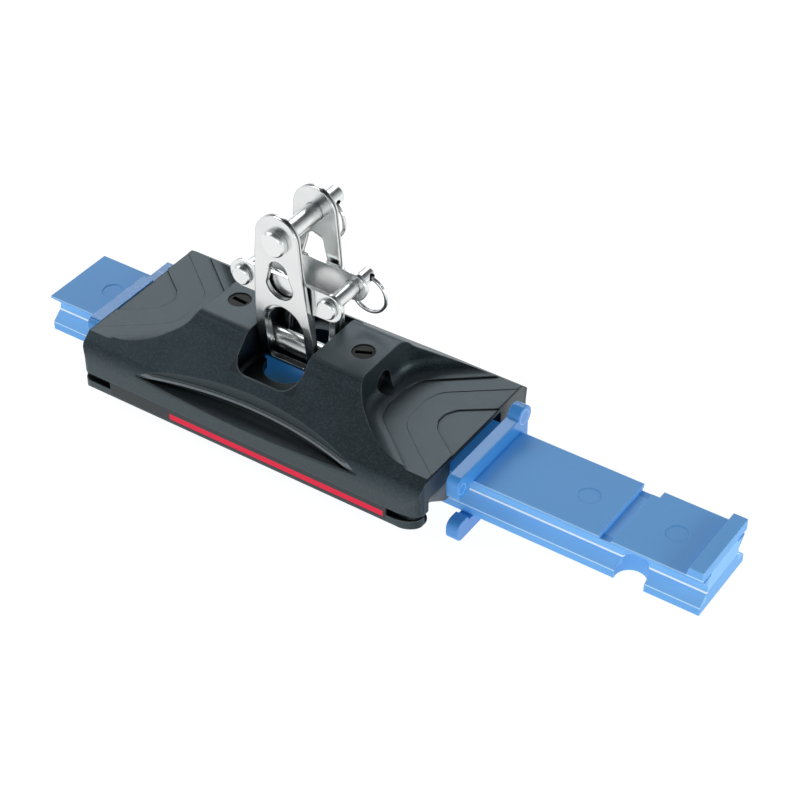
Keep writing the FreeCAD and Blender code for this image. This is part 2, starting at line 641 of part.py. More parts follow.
def make_car_body():
    body = new_body("car_body")
    shoulder = crest - d.shoulder_drop
    neck = crest - d.neck_drop
    profile = sketch_in(body, "car_section", "YZ_Plane", -car_end)
    draw(profile, [
        (-car_half, skirt), (-leg_half, skirt), (-leg_half, ceiling), (leg_half, ceiling),
        (leg_half, skirt), (car_half, skirt), (car_half, shoulder), (d.neck_half, neck),
        (d.crest_half, crest), (-d.crest_half, crest), (-d.neck_half, neck),
        (-car_half, shoulder),
    ])
    pad(body, profile, "car_bar", d.car_length)

    half = car_half.value
    dress(body, "Fillet", "shoulders",
          edges_along_x(body, [(half, shoulder.value), (-half, shoulder.value)]),
          "Radius", d.shoulder_radius)
    top_half = d.crest_half.value
    dress(body, "Fillet", "crest_edges",
          edges_along_x(body, [(top_half, crest.value), (-top_half, crest.value)]),
          "Radius", d.crest_radius)
    dress(body, "Chamfer", "skirt_edges",
          edges_along_x(body, [(half, skirt.value), (-half, skirt.value)]),
          "Size", d.skirt_edge)

    corner = sketch_in(body, "corner_shape", "XY_Plane")
    radius = d.corner_radius
    reach = radius + 3
    draw(corner, [
        (car_end - radius, -car_half), (car_end - radius, -car_half - 3),
        (car_end - radius + reach, -car_half - 3), (car_end - radius + reach, -car_half + radius),
        (car_end, -car_half + radius),
    ], {4: (radius, -1)})
    cut = pocket(body, corner, "corner", crest, backwards=True)
    mirrored(body, cut, "corner_left", "YZ_Plane")
    back = sketch_in(body, "corner_back_shape", "XY_Plane")
    draw(back, [
        (car_end, car_half - radius), (car_end - radius + reach, car_half - radius),
        (car_end - radius + reach, car_half + 3), (car_end - radius, car_half + 3),
        (car_end - radius, car_half),
    ], {4: (radius, -1)})
    cut = pocket(body, back, "corner_back", crest, backwards=True)
    mirrored(body, cut, "corner_back_left", "YZ_Plane")

    make_scoop(body)
    make_terraces(body)
    make_crescent(body)

    mouth = sketch_in(body, "mouth_shape", "XY_Plane", crest + 1)
    draw_rounded(mouth, d.mouth_half, d.mouth_reach, d.mouth_round)
    pocket(body, mouth, "mouth", d.car_rise - d.mouth_floor + 1)
    slot = sketch_in(body, "slot_shape", "XY_Plane", crest + 1)
    draw_rounded(slot, d.slot_half, d.slot_reach, d.slot_round)
    pocket(body, slot, "slot", d.car_rise - d.rail_top_gap + d.slot_sink + 1)

    bore = sketch_in(body, "bore_shape", "YZ_Plane", d.scoop_nose + 4)
    draw_circle(bore, 0, shaft_height, d.shaft_size / 2 + d.shaft_fit)
    pocket(body, bore, "bore", 2 * d.scoop_nose + 8)

    holes = sketch_in(body, "screw_holes_shape", "XY_Plane", crest + 1)
    for side in (-1, 1):
        draw_circle(holes, screw_place * side, 0, d.screw_size / 2 + d.screw_fit)
    pocket(body, holes, "screw_holes", d.car_rise - d.shaft_rise + 1)

    inner_end = car_end - d.guide_length - d.guide_fit
    race = sketch_in(body, "race_shape", "YZ_Plane", inner_end + 1)
    for side in (-1, 1):
        draw_circle(race, ball_half * side, ball_height, d.ball_size / 2 + d.ball_fit)
    pocket(body, race, "races", 2 * inner_end + 2)

    seats = sketch_in(body, "guide_seat_shape", "YZ_Plane", car_end)
    gap = d.guide_fit
    for side in (-1, 1):
        near = (leg_half - 1) * side
        far_side = (leg_half + d.guide_width + gap) * side
        low = ball_height - d.guide_height / 2 - gap
        high = ball_height + d.guide_height / 2 + gap
        if side > 0:
            draw_box(seats, near, far_side, low, high)
        else:
            draw_box(seats, far_side, near, low, high)
    cut = pocket(body, seats, "guide_seats", d.guide_length + gap)
    mirrored(body, cut, "guide_seats_left", "YZ_Plane")

    label_half = d.label_length / 2 + d.label_fit
    label_top = datum - d.label_drop + d.label_fit
    label_low = datum - d.label_drop - d.label_height - d.label_fit
    for side, offset, turned in (("front", car_half, False), ("back", -car_half, True)):
        recess = sketch_in(body, "label_seat_shape_" + side, "XZ_Plane", offset)
        draw_box(recess, -label_half, label_half, label_low, label_top)
        pocket(body, recess, "label_seat_" + side, d.label_thick, backwards=turned)

    groove_top = datum - d.label_drop + d.label_fit
    deep = d.groove_depth
    inset = sketch_in(body, "side_groove_shape", "XY_Plane", groove_top)
    outside = 4
    start = d.label_length / 2 - 0.5
    inner_half = car_half - deep
    draw(inset, [
        (start, -inner_half), (car_end - radius, -inner_half),
        (car_end - deep, -car_half + radius), (car_end - deep, -inner_half + d.groove_return),
        (car_end + outside, -inner_half + d.groove_return), (car_end + outside, -car_half - outside),
        (start, -car_half - outside),
    ], {1: (radius - deep, 1)})
    cut = pocket(body, inset, "side_groove", d.groove_height)
    mirrored(body, cut, "side_groove_left", "YZ_Plane")
    inset = sketch_in(body, "side_groove_back_shape", "XY_Plane", groove_top)
    draw(inset, [
        (start, inner_half), (start, car_half + outside),
        (car_end + outside, car_half + outside), (car_end + outside, inner_half - d.groove_return),
        (car_end - deep, inner_half - d.groove_return), (car_end - deep, car_half - radius),
        (car_end - radius, inner_half),
    ], {5: (radius - deep, 1)})
    cut = pocket(body, inset, "side_groove_back", d.groove_height)
    mirrored(body, cut, "side_groove_back_left", "YZ_Plane")
    keep(body, "car_body")


# Side labels
def make_label(side, label):
    body = new_body(label)
    sketch = sketch_in(body, label + "_shape", "XZ_Plane")
    low = datum - d.label_drop - d.label_height
    half = d.label_length / 2
    draw_box(sketch, -half, half, low, datum - d.label_drop)
    pad(body, sketch, label + "_strip", d.label_thick - d.label_fit)
    if side < 0:
        place(body, y=-car_half + d.label_thick - d.label_fit)
    else:
        place(body, y=car_half)
    keep(body, label)


# Bearing balls, one row in each leg
def make_balls(side, label):
    """Each ball is drawn with eighteen flats, a little inside its round."""
    sheet = doc.getObject("Sizes")
    radius = sheet.get("ball_size") * 0.475
    row_length = sheet.get("car_length") - 2 * sheet.get("guide_length")
    pitch = sheet.get("ball_pitch")
    count = int((row_length - 2 * radius) / pitch) + 1
    flat = radius * math.tan(math.radians(22.5))
    ring = [FreeCAD.Vector(a, b, -radius) for a, b in (
        (radius, -flat), (radius, flat), (flat, radius), (-flat, radius),
        (-radius, flat), (-radius, -flat), (-flat, -radius), (flat, -radius))]
    face = Part.Face(Part.makePolygon(ring + ring[:1]))
    upright = face.extrude(FreeCAD.Vector(0, 0, 2 * radius))
    along = upright.copy()
    along.rotate(FreeCAD.Vector(), FreeCAD.Vector(0, 1, 0), 90)
    across = upright.copy()
    across.rotate(FreeCAD.Vector(), FreeCAD.Vector(1, 0, 0), 90)
    ball = upright.common(along).common(across)
    balls = []
    for number in range(count):
        copy = ball.copy()
        copy.translate(FreeCAD.Vector((number - (count - 1) / 2.0) * pitch, 0, 0))
        balls.append(copy)
    row = doc.addObject("Part::Feature", label)
    row.Shape = Part.makeCompound(balls)
    place(row, y=ball_half * side, z=ball_height)
    keep(row, label)


# Return guides that close the races at both ends of each leg
def make_guides(label, x):
    parts = []
    for side in (-1, 1):
        block = doc.addObject("Part::Box", label + ("_front" if side < 0 else "_back"))
        bind(block, "Length", d.guide_length)
        bind(block, "Width", d.guide_width)
        bind(block, "Height", d.guide_height)
        place(block, x=x, z=ball_height - d.guide_height / 2)
        place(block, y=leg_half if side > 0 else -leg_half - d.guide_width)
        parts.append(block)
    group = doc.addObject("Part::Compound", label)
    group.Links = parts
    keep(group, label)


# Pivot shaft and the two slotted screws that lock it
def make_shaft():
    shaft = doc.addObject("Part::Cylinder", "pivot_shaft")
    bind(shaft, "Radius", d.shaft_size / 2)
    bind(shaft, "Height", 2 * (d.scoop_nose - d.shaft_inset))
    shaft.Placement = FreeCAD.Placement(FreeCAD.Vector(), FreeCAD.Rotation(FreeCAD.Vector(0, 1, 0), 90))
    place(shaft, x=-(d.scoop_nose - d.shaft_inset), z=shaft_height)
    keep(shaft, "pivot_shaft")


def make_screws():
    low = shaft_height + d.shaft_size / 2 + d.shaft_fit
    high = crest - d.screw_sink
    screws = []
    for name, side, turn in (("left", -1, -4.0), ("right", 1, 26.0)):
        stud = doc.addObject("Part::Cylinder", "screw_stud_" + name)
        bind(stud, "Radius", d.screw_size / 2)
        bind(stud, "Height", high - low)
        slot = doc.addObject("Part::Box", "screw_slot_" + name)
        bind(slot, "Length", d.screw_size * 0.72)
        bind(slot, "Width", d.screw_slot)
        bind(slot, "Height", d.screw_slot_deep + 1)
        bind(slot, "Placement.Base.x", -d.screw_size * 0.36)
        bind(slot, "Placement.Base.y", -d.screw_slot / 2)
        bind(slot, "Placement.Base.z", high - low - d.screw_slot_deep)
        screw = boolean("Cut", "screw_" + name, stud, slot)
        screw.Placement = FreeCAD.Placement(FreeCAD.Vector(),
                                            FreeCAD.Rotation(FreeCAD.Vector(0, 0, 1), turn))
        place(screw, x=screw_place * side, z=low)
        screws.append(screw)
    group = doc.addObject("Part::Compound", "set_screws")
    group.Links = screws
    keep(group, "set_screws")


# Nested straps of the toggle
def strap_side(name, inner, thick, knee, elbow, top):
    """Section of a strap that hangs under the shaft and opens in one or two flares."""
    sketch = free_sketch(name, "YZ")
    turn = shaft_height
    outer = inner + thick
    inside = [(inner, turn)]
    outside = [(outer, turn)]
    for rise, half in knee, elbow:
        inside.append((half, turn + rise))
        outside.append((half + thick, turn + rise))
    inside.append((elbow[1], top))
    outside.append((elbow[1] + thick, top))
    back = inside[::-1]
    front = [(-u, v) for u, v in inside]
    front_out = [(-u, v) for u, v in outside][::-1]
    points = back + front + front_out + outside
    count = len(inside)
    draw(sketch, points, {count - 1: (None, -1), 3 * count - 1: (None, 1)})
    return sketch


tang_inner = d.shaft_size / 2 + d.shaft_fit
strap_inner = tang_inner + d.tang_thick + d.strap_fit
toggle_knee = d.knee_half + d.tang_thick + d.strap_fit
toggle_face = d.elbow_half + d.strap_thick
tang_face = d.knee_half + d.tang_thick


def make_toggle_strap():
    top = shaft_height + d.main_rise + d.strap_head
    side = strap_side("toggle_side", strap_inner, d.strap_thick,
                      (d.knee_rise, toggle_knee), (d.elbow_rise, d.elbow_half), top)
    bent = extrusion("toggle_bent", side, 2 * d.strap_half)
    front = free_sketch("toggle_front", "XZ")
    base = shaft_height
    low = base - strap_inner - d.strap_thick - 1
    eye = base + d.main_rise
    draw(front, [
        (-d.strap_half, low), (d.strap_half, low), (d.strap_half, base + 8),
        (d.strap_head, eye), (-d.strap_head, eye), (-d.strap_half, base + 8),
    ], {3: (None, 1)})
    draw_circle(front, 0, eye, d.main_size / 2 + d.pin_fit)
    half = d.window_half
    sill = base - d.window_sill
    spring = base + d.window_top - half
    round_off = Size(2.4)
    draw(front, [
        (-half + round_off, sill), (half - round_off, sill), (half, sill + round_off),
        (half, spring), (-half, spring), (-half, sill + round_off),
    ], {1: (round_off, 1), 3: (None, 1), 5: (round_off, 1)})
    wide = d.egg_low_radius
    narrow = d.egg_top_radius
    draw(front, [
        (-wide, base + d.egg_low), (wide, base + d.egg_low),
        (narrow, base + d.egg_top), (-narrow, base + d.egg_top),
    ], {0: (None, 1), 2: (None, 1)})
    plate = extrusion("toggle_plate", front, 2 * (toggle_face + 5))
    keep(boolean("Common", "toggle_strap", bent, plate), "toggle_strap")


def make_tang_strap():
    base = shaft_height
    eye = base + d.tang_rise
    top = eye + d.tang_round
    side = strap_side("tang_side", tang_inner, d.tang_thick,
                      (d.knee_rise - 0.1, d.knee_half), (d.knee_rise + 4, d.knee_half), top)
    bent = extrusion("tang_bent", side, 2 * (d.tang_place + d.tang_round + 2))
    front = free_sketch("tang_front", "XZ")
    low = base - tang_inner - d.tang_thick - 1
    under = eye - d.tang_round
    stem = d.tang_stem
    curl = Size(1.5)
    draw(front, [
        (-stem, low), (stem, low), (stem, under - curl), (stem + curl, under),
        (d.tang_place, under), (d.tang_place, top), (-d.tang_place, top),
        (-d.tang_place, under), (-stem - curl, under), (-stem, under - curl),
    ], {2: (curl, -1), 4: (None, 1), 6: (None, 1), 8: (curl, -1)})
    for side_sign in (-1, 1):
        draw_circle(front, d.tang_place * side_sign, eye, d.tang_size / 2 + d.pin_fit)
    half = d.window_half + 0.1
    sill = base - d.window_sill - 0.1
    spring = base + d.window_top - 2 - half
    draw(front, [(-half, sill), (half, sill), (half, spring), (-half, spring)], {2: (None, 1)})
    plate = extrusion("tang_plate", front, 2 * (tang_face + 5))
    keep(boolean("Common", "tang_strap", bent, plate), "tang_strap")


# Clevis pins with a round head in front and a cross hole behind
def sine(turn):
    return Size(math.sin(math.radians(turn.value)), "sin(" + turn.text + " * 1 deg)")


def cosine(turn):
    return Size(math.cos(math.radians(turn.value)), "cos(" + turn.text + " * 1 deg)")


def make_pin(label, place_x, rise, turn, size, head, head_thick, face, tail, hole, wire, fit_extra):
    body = new_body(label)
    body.Placement = FreeCAD.Placement(FreeCAD.Vector(), FreeCAD.Rotation(FreeCAD.Vector(0, 1, 0), 1))
    place(body, x=place_x, z=shaft_height + rise)
    body.setExpression("Placement.Rotation.Angle", turn.text + " * 1 deg")
    radius = size / 2
    seat = -face - d.pin_fit
    front = seat - head_thick
    end = face + tail
    profile = sketch_in(body, label + "_shape", "XY_Plane")
    bevel = Size(0.6)
    draw(profile, [
        (0, front), (head / 2 - bevel, front), (head / 2, front + bevel), (head / 2, seat),
        (radius, seat), (radius, end - bevel), (radius - bevel, end), (0, end),
    ])
    turned = body.newObject("PartDesign::Revolution", label + "_turned")
    turned.Profile = (profile, [""])
    turned.ReferenceAxis = (profile, ["V_Axis"])
    turned.Angle = 360.0
    doc.recompute()
    cross = sketch_in(body, label + "_hole_shape", "YZ_Plane", size)
    draw_circle(cross, face + hole, 0, wire + d.ring_fit + fit_extra)
    pocket(body, cross, label + "_hole", size * 2)
    keep(body, label)


# Rings through the pins' cross holes, each with the flat section of two coils side by side
def make_ring(label, place_x, rise, turn, mean, wire, face, hole):
    body = new_body(label)
    place(body, x=place_x - mean * sine(turn), y=face + hole,
          z=shaft_height + rise - mean * cosine(turn))
    section = sketch_in(body, label + "_section", "XY_Plane")
    wide = wire * 0.85
    flat = wire * 0.8
    draw_box(section, mean - wide, mean + wide, -flat, flat)
    turned = body.newObject("PartDesign::Revolution", label + "_turned")
    turned.Profile = (section, [""])
    turned.ReferenceAxis = (section, ["V_Axis"])
    turned.Angle = 360.0
    doc.recompute()
    keep(body, label)


make_rail()
make_stop("stop_left", -car_end - d.left_gap - d.stop_width)
make_stop("stop_right", car_end + d.right_gap)
make_car_body()
make_label(-1, "side_label_front")
make_label(1, "side_label_back")
make_balls(-1, "ball_row_front")
make_balls(1, "ball_row_back")
make_guides("return_guides_left", -car_end)
make_guides("return_guides_right", car_end - d.guide_length)
make_shaft()
make_screws()
make_toggle_strap()
make_tang_strap()
make_pin("main_pin", Size(0.0), d.main_rise, d.main_turn, d.main_size, d.main_head,
         d.main_head_thick, toggle_face, d.main_tail, d.main_hole, d.main_wire, Size(0.5))
make_ring("main_ring", Size(0.0), d.main_rise, d.main_turn, d.main_ring, d.main_wire,
          toggle_face, d.main_hole)
for name, sign, turn in (("left", -1, Size(0.0)), ("right", 1, -d.tang_turn)):
    make_pin("tang_pin_" + name, d.tang_place * sign, d.tang_rise, turn, d.tang_size, d.tang_head,
             d.tang_head_thick, tang_face, d.tang_tail, d.tang_hole, d.tang_wire, Size(0.4))
    make_ring("tang_ring_" + name, d.tang_place * sign, d.tang_rise, turn, d.tang_ring,
              d.tang_wire, tang_face, d.tang_hole)

doc.recompute()
for thing in doc.Objects:
    if "Invalid" in thing.State or "Error" in thing.State:
        raise RuntimeError("%s failed: %s" % (thing.Name, thing.State))
for node in nodes:
    if node.Shape.isNull() or not node.Shape.isValid():
        raise RuntimeError(node.Label + " has no valid shape")
for node in nodes:
    node.Shape.exportStep("parts/" + node.Label + ".step")
    box = node.Shape.optimalBoundingBox(False)
    print("%-18s solids %2d  volume %9.1f  x %7.2f %7.2f  y %7.2f %7.2f  z %6.2f %6.2f" % (
        node.Label, len(node.Shape.Solids), node.Shape.Volume,
        box.XMin, box.XMax, box.YMin, box.YMax, box.ZMin, box.ZMax))
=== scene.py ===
import math

import bmesh
import bpy
from mathutils import Matrix, Vector


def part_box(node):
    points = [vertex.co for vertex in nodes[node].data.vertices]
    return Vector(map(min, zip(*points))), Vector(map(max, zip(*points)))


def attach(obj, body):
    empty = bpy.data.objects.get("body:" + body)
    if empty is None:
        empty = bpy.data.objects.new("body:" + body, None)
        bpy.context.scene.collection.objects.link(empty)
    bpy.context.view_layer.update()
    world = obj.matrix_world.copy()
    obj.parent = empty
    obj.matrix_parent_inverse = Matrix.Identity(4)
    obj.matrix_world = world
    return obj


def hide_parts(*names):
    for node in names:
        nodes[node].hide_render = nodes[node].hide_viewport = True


MM = 0.001

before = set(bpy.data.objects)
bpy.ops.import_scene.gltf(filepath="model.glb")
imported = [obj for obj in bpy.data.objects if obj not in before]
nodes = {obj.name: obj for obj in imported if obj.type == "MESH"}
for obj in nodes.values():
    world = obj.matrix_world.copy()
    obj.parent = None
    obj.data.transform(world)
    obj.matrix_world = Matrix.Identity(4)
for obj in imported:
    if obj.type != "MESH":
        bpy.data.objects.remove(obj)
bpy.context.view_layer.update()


# Driving sizes, from the frame where it holds them
def corners_of(node):
    """Lowest and highest corner of a CAD node, to a tenth of a millimetre."""
    return [[round(value / MM, 1) for value in corner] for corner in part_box(node)]


def middle_of(node):
    """Middle of a CAD node, to a tenth of a millimetre."""
    low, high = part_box(node)
    return [round((a + b) / 2 / MM, 1) for a, b in zip(low, high)]


SIDES = (-1, 1)
CORNERS = [(side_x, side_y) for side_x in SIDES for side_y in SIDES]

# How far a cutting tool reaches past what it cuts
PAST = 2.0

# The body's heights are taken from the datum, as in the part's source
car_low, car_high = corners_of("car_body")
CAR_END, CAR_HALF, CREST = car_high
SKIRT = car_low[2]
DATUM = CREST - 16.0
CEILING = DATUM + 1.6
SHOULDER = CREST - 16.6
NECK = CREST - 3.4

# Inner face of a leg, and a width inside the rail space for the tools that open it
LEG_HALF = 14.1
RAIL_SPACE = LEG_HALF - 1

MOUTH_HALF = 11.6
MOUTH_REACH = 20.7
MOUTH_FLOOR = DATUM + 4.2
SCOOP_NOSE = 29.8
SCOOP_FLOOR = DATUM + 4.1

label_low, label_high = corners_of("side_label_back")
LABEL_HALF = label_high[0]
LABEL_LOW = label_low[2]
LABEL_TOP = label_high[2]
LABEL_FIT = 0.05
STRIPE_LOW = LABEL_LOW + 0.55
STRIPE_TOP = LABEL_LOW + 2.65

BALL_HALF, BALL_HEIGHT = middle_of("ball_row_back")[1:]
BALL_RADIUS = 3.175
BALL_COUNT = 16
BALL_PITCH = 6.4
BALL_FIT = 0.12

SHAFT_HEIGHT = middle_of("pivot_shaft")[2]
SHAFT_HOLE = 3.55
SCREW_PLACE = 23.2
SCREW_HOLE = 3.68

# Middle of a toggle plate's thickness, and of a tang plate's
STRAP_MIDDLE = 9.4
TANG_MIDDLE = 7.7

# A crescent turns about an upright axis outside the car; its foot stands a little over the
# datum in the middle, and sags from there towards its tips
CRESCENT_RIM = 24.3
CRESCENT_RADIUS = 141.0
CRESCENT_REACH = 42.0
CRESCENT_SAG = 0.9
CRESCENT_LIFT = 0.45
HOLLOW_REACH = 43.0


def new_object(name, data):
    thing = bpy.data.objects.new(name, data)
    bpy.context.scene.collection.objects.link(thing)
    return thing


# Camera, as the photograph was taken
AZIMUTH = math.radians(33.92)
ELEVATION = math.radians(39.40)
LENS_PIXELS = 2147.7
FRAME_PIXELS = 800.0
SENSOR_WIDTH = 36.0
EYE = Vector((314.0, -413.0, 433.0)) * MM

camera_data = bpy.data.cameras.new("camera")
camera_data.sensor_width = SENSOR_WIDTH
camera_data.lens = SENSOR_WIDTH * LENS_PIXELS / FRAME_PIXELS
camera_data.clip_start = 0.01
camera_data.clip_end = 100.0
camera = new_object("camera", camera_data)
ahead = Vector((-math.sin(AZIMUTH) * math.cos(ELEVATION),
                math.cos(AZIMUTH) * math.cos(ELEVATION), -math.sin(ELEVATION)))
camera.location = EYE
camera.rotation_mode = "QUATERNION"
camera.rotation_quaternion = ahead.to_track_quat("-Z", "Y")
bpy.context.scene.camera = camera


# Node material helpers
def new_material(name):
    material = bpy.data.materials.new(name)
    material.use_nodes = True
    tree = material.node_tree
    tree.nodes.clear()
    output = tree.nodes.new("ShaderNodeOutputMaterial")
    shader = tree.nodes.new("ShaderNodeBsdfPrincipled")
    tree.links.new(shader.outputs["BSDF"], output.inputs["Surface"])
    return material, tree, shader


def coordinates(tree, kind="Object"):
    """X, Y and Z of a point's place, or of the way it faces."""
    parts = tree.nodes.new("ShaderNodeSeparateXYZ")
    source = tree.nodes.new("ShaderNodeTexCoord")
    tree.links.new(source.outputs[kind], parts.inputs["Vector"])
    return parts.outputs


def place_texture(tree, scale=(1, 1, 1)):
    source = tree.nodes.new("ShaderNodeTexCoord")
    mapping = tree.nodes.new("ShaderNodeMapping")
    mapping.inputs["Scale"].default_value = scale
    tree.links.new(source.outputs["Object"], mapping.inputs["Vector"])
    return mapping.outputs["Vector"]


def noise(tree, where, scale, detail, rough=0.5):
    texture = tree.nodes.new("ShaderNodeTexNoise")
    texture.inputs["Scale"].default_value = scale
    texture.inputs["Detail"].default_value = detail
    texture.inputs["Roughness"].default_value = rough
    tree.links.new(where, texture.inputs["Vector"])
    return texture.outputs["Fac"]


def spread(tree, value, low, high, to_low, to_high):
    """Maps a range of values to another one, and holds its ends."""
    node = tree.nodes.new("ShaderNodeMapRange")
    node.inputs["From Min"].default_value = low
    node.inputs["From Max"].default_value = high
    node.inputs["To Min"].default_value = to_low
    node.inputs["To Max"].default_value = to_high
    tree.links.new(value, node.inputs["Value"])
    return node.outputs["Result"]


def fill(tree, socket, value):
    """Links a socket to another one, or gives it a plain value."""
    if isinstance(value, bpy.types.NodeSocket):
        tree.links.new(value, socket)
    else:
        socket.default_value = value


def blend_colours(tree, share, first, second):
    node = tree.nodes.new("ShaderNodeMix")
    node.data_type = "RGBA"
    tree.links.new(share, node.inputs["Factor"])
    for socket, colour in ((node.inputs[6], first), (node.inputs[7], second)):
        fill(tree, socket, (*colour, 1.0) if isinstance(colour, tuple) else colour)
    return node.outputs[2]


def arithmetic(tree, operation, *values):
    node = tree.nodes.new("ShaderNodeMath")
    node.operation = operation
    for socket, value in zip(node.inputs, values):
        fill(tree, socket, value)
    return node.outputs["Value"]


def absolute(tree, value):
    return arithmetic(tree, "ABSOLUTE", value)


def product(tree, first, *others):
    for other in others:
        first = arithmetic(tree, "MULTIPLY", first, other)
    return first


def between(tree, value, low, high):
    """Share of 1 where a place lies between two sizes."""
    return product(tree, arithmetic(tree, "GREATER_THAN", value, low * MM),
                   arithmetic(tree, "LESS_THAN", value, high * MM))


def length(tree, across, along):
    """Distance that two places, measured square to each other, give together."""
    squares = [product(tree, side, side) for side in (across, along)]
    return arithmetic(tree, "SQRT", arithmetic(tree, "ADD", *squares))


def soft_edges(tree, radius):
    node = tree.nodes.new("ShaderNodeBevel")
    node.samples = 6
    node.inputs["Radius"].default_value = radius * MM
    return node.outputs["Normal"]


def nearness(tree, reach, inside, low, high):
    """Share of 1 on an outward edge (inside) or in a crease (not inside), 0 on a flat face."""
    node = tree.nodes.new("ShaderNodeAmbientOcclusion")
    node.inside = inside
    node.samples = 6
    node.inputs["Distance"].default_value = reach * MM
    return spread(tree, node.outputs["AO"], low, high, 1.0, 0.0)


def edge_share(tree, reach):
    return nearness(tree, reach, True, 0.45, 0.85)


def crease_share(tree, reach):
    return nearness(tree, reach, False, 0.25, 0.85)


def bump(tree, shader, height, strength, distance, under=None):
    node = tree.nodes.new("ShaderNodeBump")
    node.inputs["Strength"].default_value = strength
    node.inputs["Distance"].default_value = distance * MM
    tree.links.new(height, node.inputs["Height"])
    if under is not None:
        tree.links.new(under, node.inputs["Normal"])
    tree.links.new(node.outputs["Normal"], shader.inputs["Normal"])


def paint(material, share, colour):
    """Lays a colour over a finish where the share is 1."""
    tree = material.node_tree
    shader = next(node for node in tree.nodes if node.type == "BSDF_PRINCIPLED")
    under = shader.inputs["Base Color"].links[0].from_socket
    tree.links.new(blend_colours(tree, share, under, colour), shader.inputs["Base Color"])


# Finishes
def moulded_plastic(name, dark, light, edge_highlight, rough, glow=None, shine=0.5):
    """Moulded plastic with painted shade in its creases and painted highlights on its edges; glow is
    the colour of a painted glow that shines out of its shaded hollows and also darkens its creases.
    """
    edge = 0.35
    open_glow = (0.02, 0.07, 0.12)
    material, tree, shader = new_material(name)
    flow = noise(tree, place_texture(tree, (14, 45, 45)), 1.0, 4.0, 0.55)
    grain = noise(tree, place_texture(tree), 2600.0, 2.0, 0.6)
    body = blend_colours(tree, spread(tree, flow, 0.3, 0.7, 0.0, 1.0), dark, light)
    # Painted shade: creases darkened to this colour, or to the glow's colour where there is one
    shade = tuple(part * 0.45 for part in dark) if glow is None else glow
    deep = blend_colours(tree, crease_share(tree, 1.8), body, shade)
    # Painted highlight: outward edges lightened
    edge_lit = blend_colours(tree, edge_share(tree, edge), deep, edge_highlight)
    tree.links.new(edge_lit, shader.inputs["Base Color"])
    # Painted glow: emission over the whole piece, strongest in its shaded hollows
    if glow is not None:
        hollow = nearness(tree, 6.0, False, 0.15, 0.75)
        painted_glow = blend_colours(tree, hollow, open_glow, glow)
        tree.links.new(painted_glow, shader.inputs["Emission Color"])
        shader.inputs["Emission Strength"].default_value = 0.45
    tree.links.new(spread(tree, flow, 0.25, 0.75, *rough), shader.inputs["Roughness"])
    shader.inputs["IOR"].default_value = 1.50
    shader.inputs["Specular IOR Level"].default_value = shine
    shader.inputs["Subsurface Weight"].default_value = 0.06
    shader.inputs["Subsurface Radius"].default_value = (0.4, 0.7, 1.0)
    shader.inputs["Subsurface Scale"].default_value = MM
    bump(tree, shader, grain, 0.10, 0.04, soft_edges(tree, edge))
    return material


def recess_share(tree):
    """Share of 1 at the foot of the recess round the toggle, where no light gets in."""
    margin = 0.3
    place = coordinates(tree)
    within_x = arithmetic(tree, "LESS_THAN", absolute(tree, place["X"]), (MOUTH_HALF + margin) * MM)
    within_y = arithmetic(tree, "LESS_THAN", absolute(tree, place["Y"]), (MOUTH_REACH + margin) * MM)
    depth = spread(tree, place["Z"], (MOUTH_FLOOR + 1.0) * MM, (CREST - 2.0) * MM, 0.95, 0.0)
    return product(tree, within_x, within_y, depth)


def anodised(name):
    """Blasted and hard-anodised casting: satin, with a fine speckle; painted light makes it paler
    where it faces up and sideways, painted shade blackens its hollows, creases and the recess round
    the toggle, and painted highlights lighten its edges.
    """
    wall_dark = (0.007, 0.013, 0.017)
    wall_light = (0.015, 0.024, 0.029)
    # Painted light: paler where it faces up and where it faces sideways
    lit_upward = (0.056, 0.068, 0.078)
    lit_flank = (0.040, 0.050, 0.056)
    dust = (0.070, 0.086, 0.096)
    # Painted shade: black in its hollows, in its creases and in the recess round the toggle
    hollow_shade = (0.002, 0.003, 0.004)
    crease_shade = (0.001, 0.001, 0.001)
    recess_shade = (0.001, 0.0015, 0.002)
    # Painted highlight on its outward edges
    edge_highlight_grey = (0.085, 0.096, 0.104)
    material, tree, shader = new_material(name)
    where = place_texture(tree)
    facing = coordinates(tree, "Normal")
    cloud = noise(tree, where, 70.0, 5.0, 0.6)
    speck = noise(tree, where, 1500.0, 3.0, 0.7)
    pits = tree.nodes.new("ShaderNodeTexVoronoi")
    pits.inputs["Scale"].default_value = 2300.0
    tree.links.new(where, pits.inputs["Vector"])
    hollow = nearness(tree, 7.0, False, 0.35, 0.92)
    sideways = absolute(tree, facing["Y"])
    base = blend_colours(tree, spread(tree, cloud, 0.35, 0.68, 0.0, 1.0), wall_dark, wall_light)
    for share, colour in (
            (spread(tree, facing["Z"], 0.86, 0.995, 0.0, 1.0), lit_upward),
            (spread(tree, sideways, 0.72, 0.98, 0.0, 0.8), lit_flank),
            (spread(tree, speck, 0.46, 0.72, 0.0, 0.42), dust),
            (hollow, hollow_shade),
            (crease_share(tree, 2.2), crease_shade),
            (recess_share(tree), recess_shade),
            (edge_share(tree, 0.5), edge_highlight_grey)):
        base = blend_colours(tree, share, base, colour)
    tree.links.new(base, shader.inputs["Base Color"])
    shader.inputs["Metallic"].default_value = 0.30
    shader.inputs["Specular Tint"].default_value = (0.72, 0.93, 1.0, 1.0)
    tree.links.new(spread(tree, speck, 0.3, 0.75, 0.34, 0.46), shader.inputs["Roughness"])
    # Painted shade on the reflections too: less specular in the hollows
    tree.links.new(spread(tree, hollow, 0.0, 1.0, 0.5, 0.08), shader.inputs["Specular IOR Level"])
    height = arithmetic(tree, "ADD", speck, product(tree, pits.outputs["Distance"], 0.5))
    bump(tree, shader, height, 0.28, 0.08, soft_edges(tree, 0.35))
    return material


def tinted(tone, red, green, blue):
    return tone * red, tone * green, tone * blue


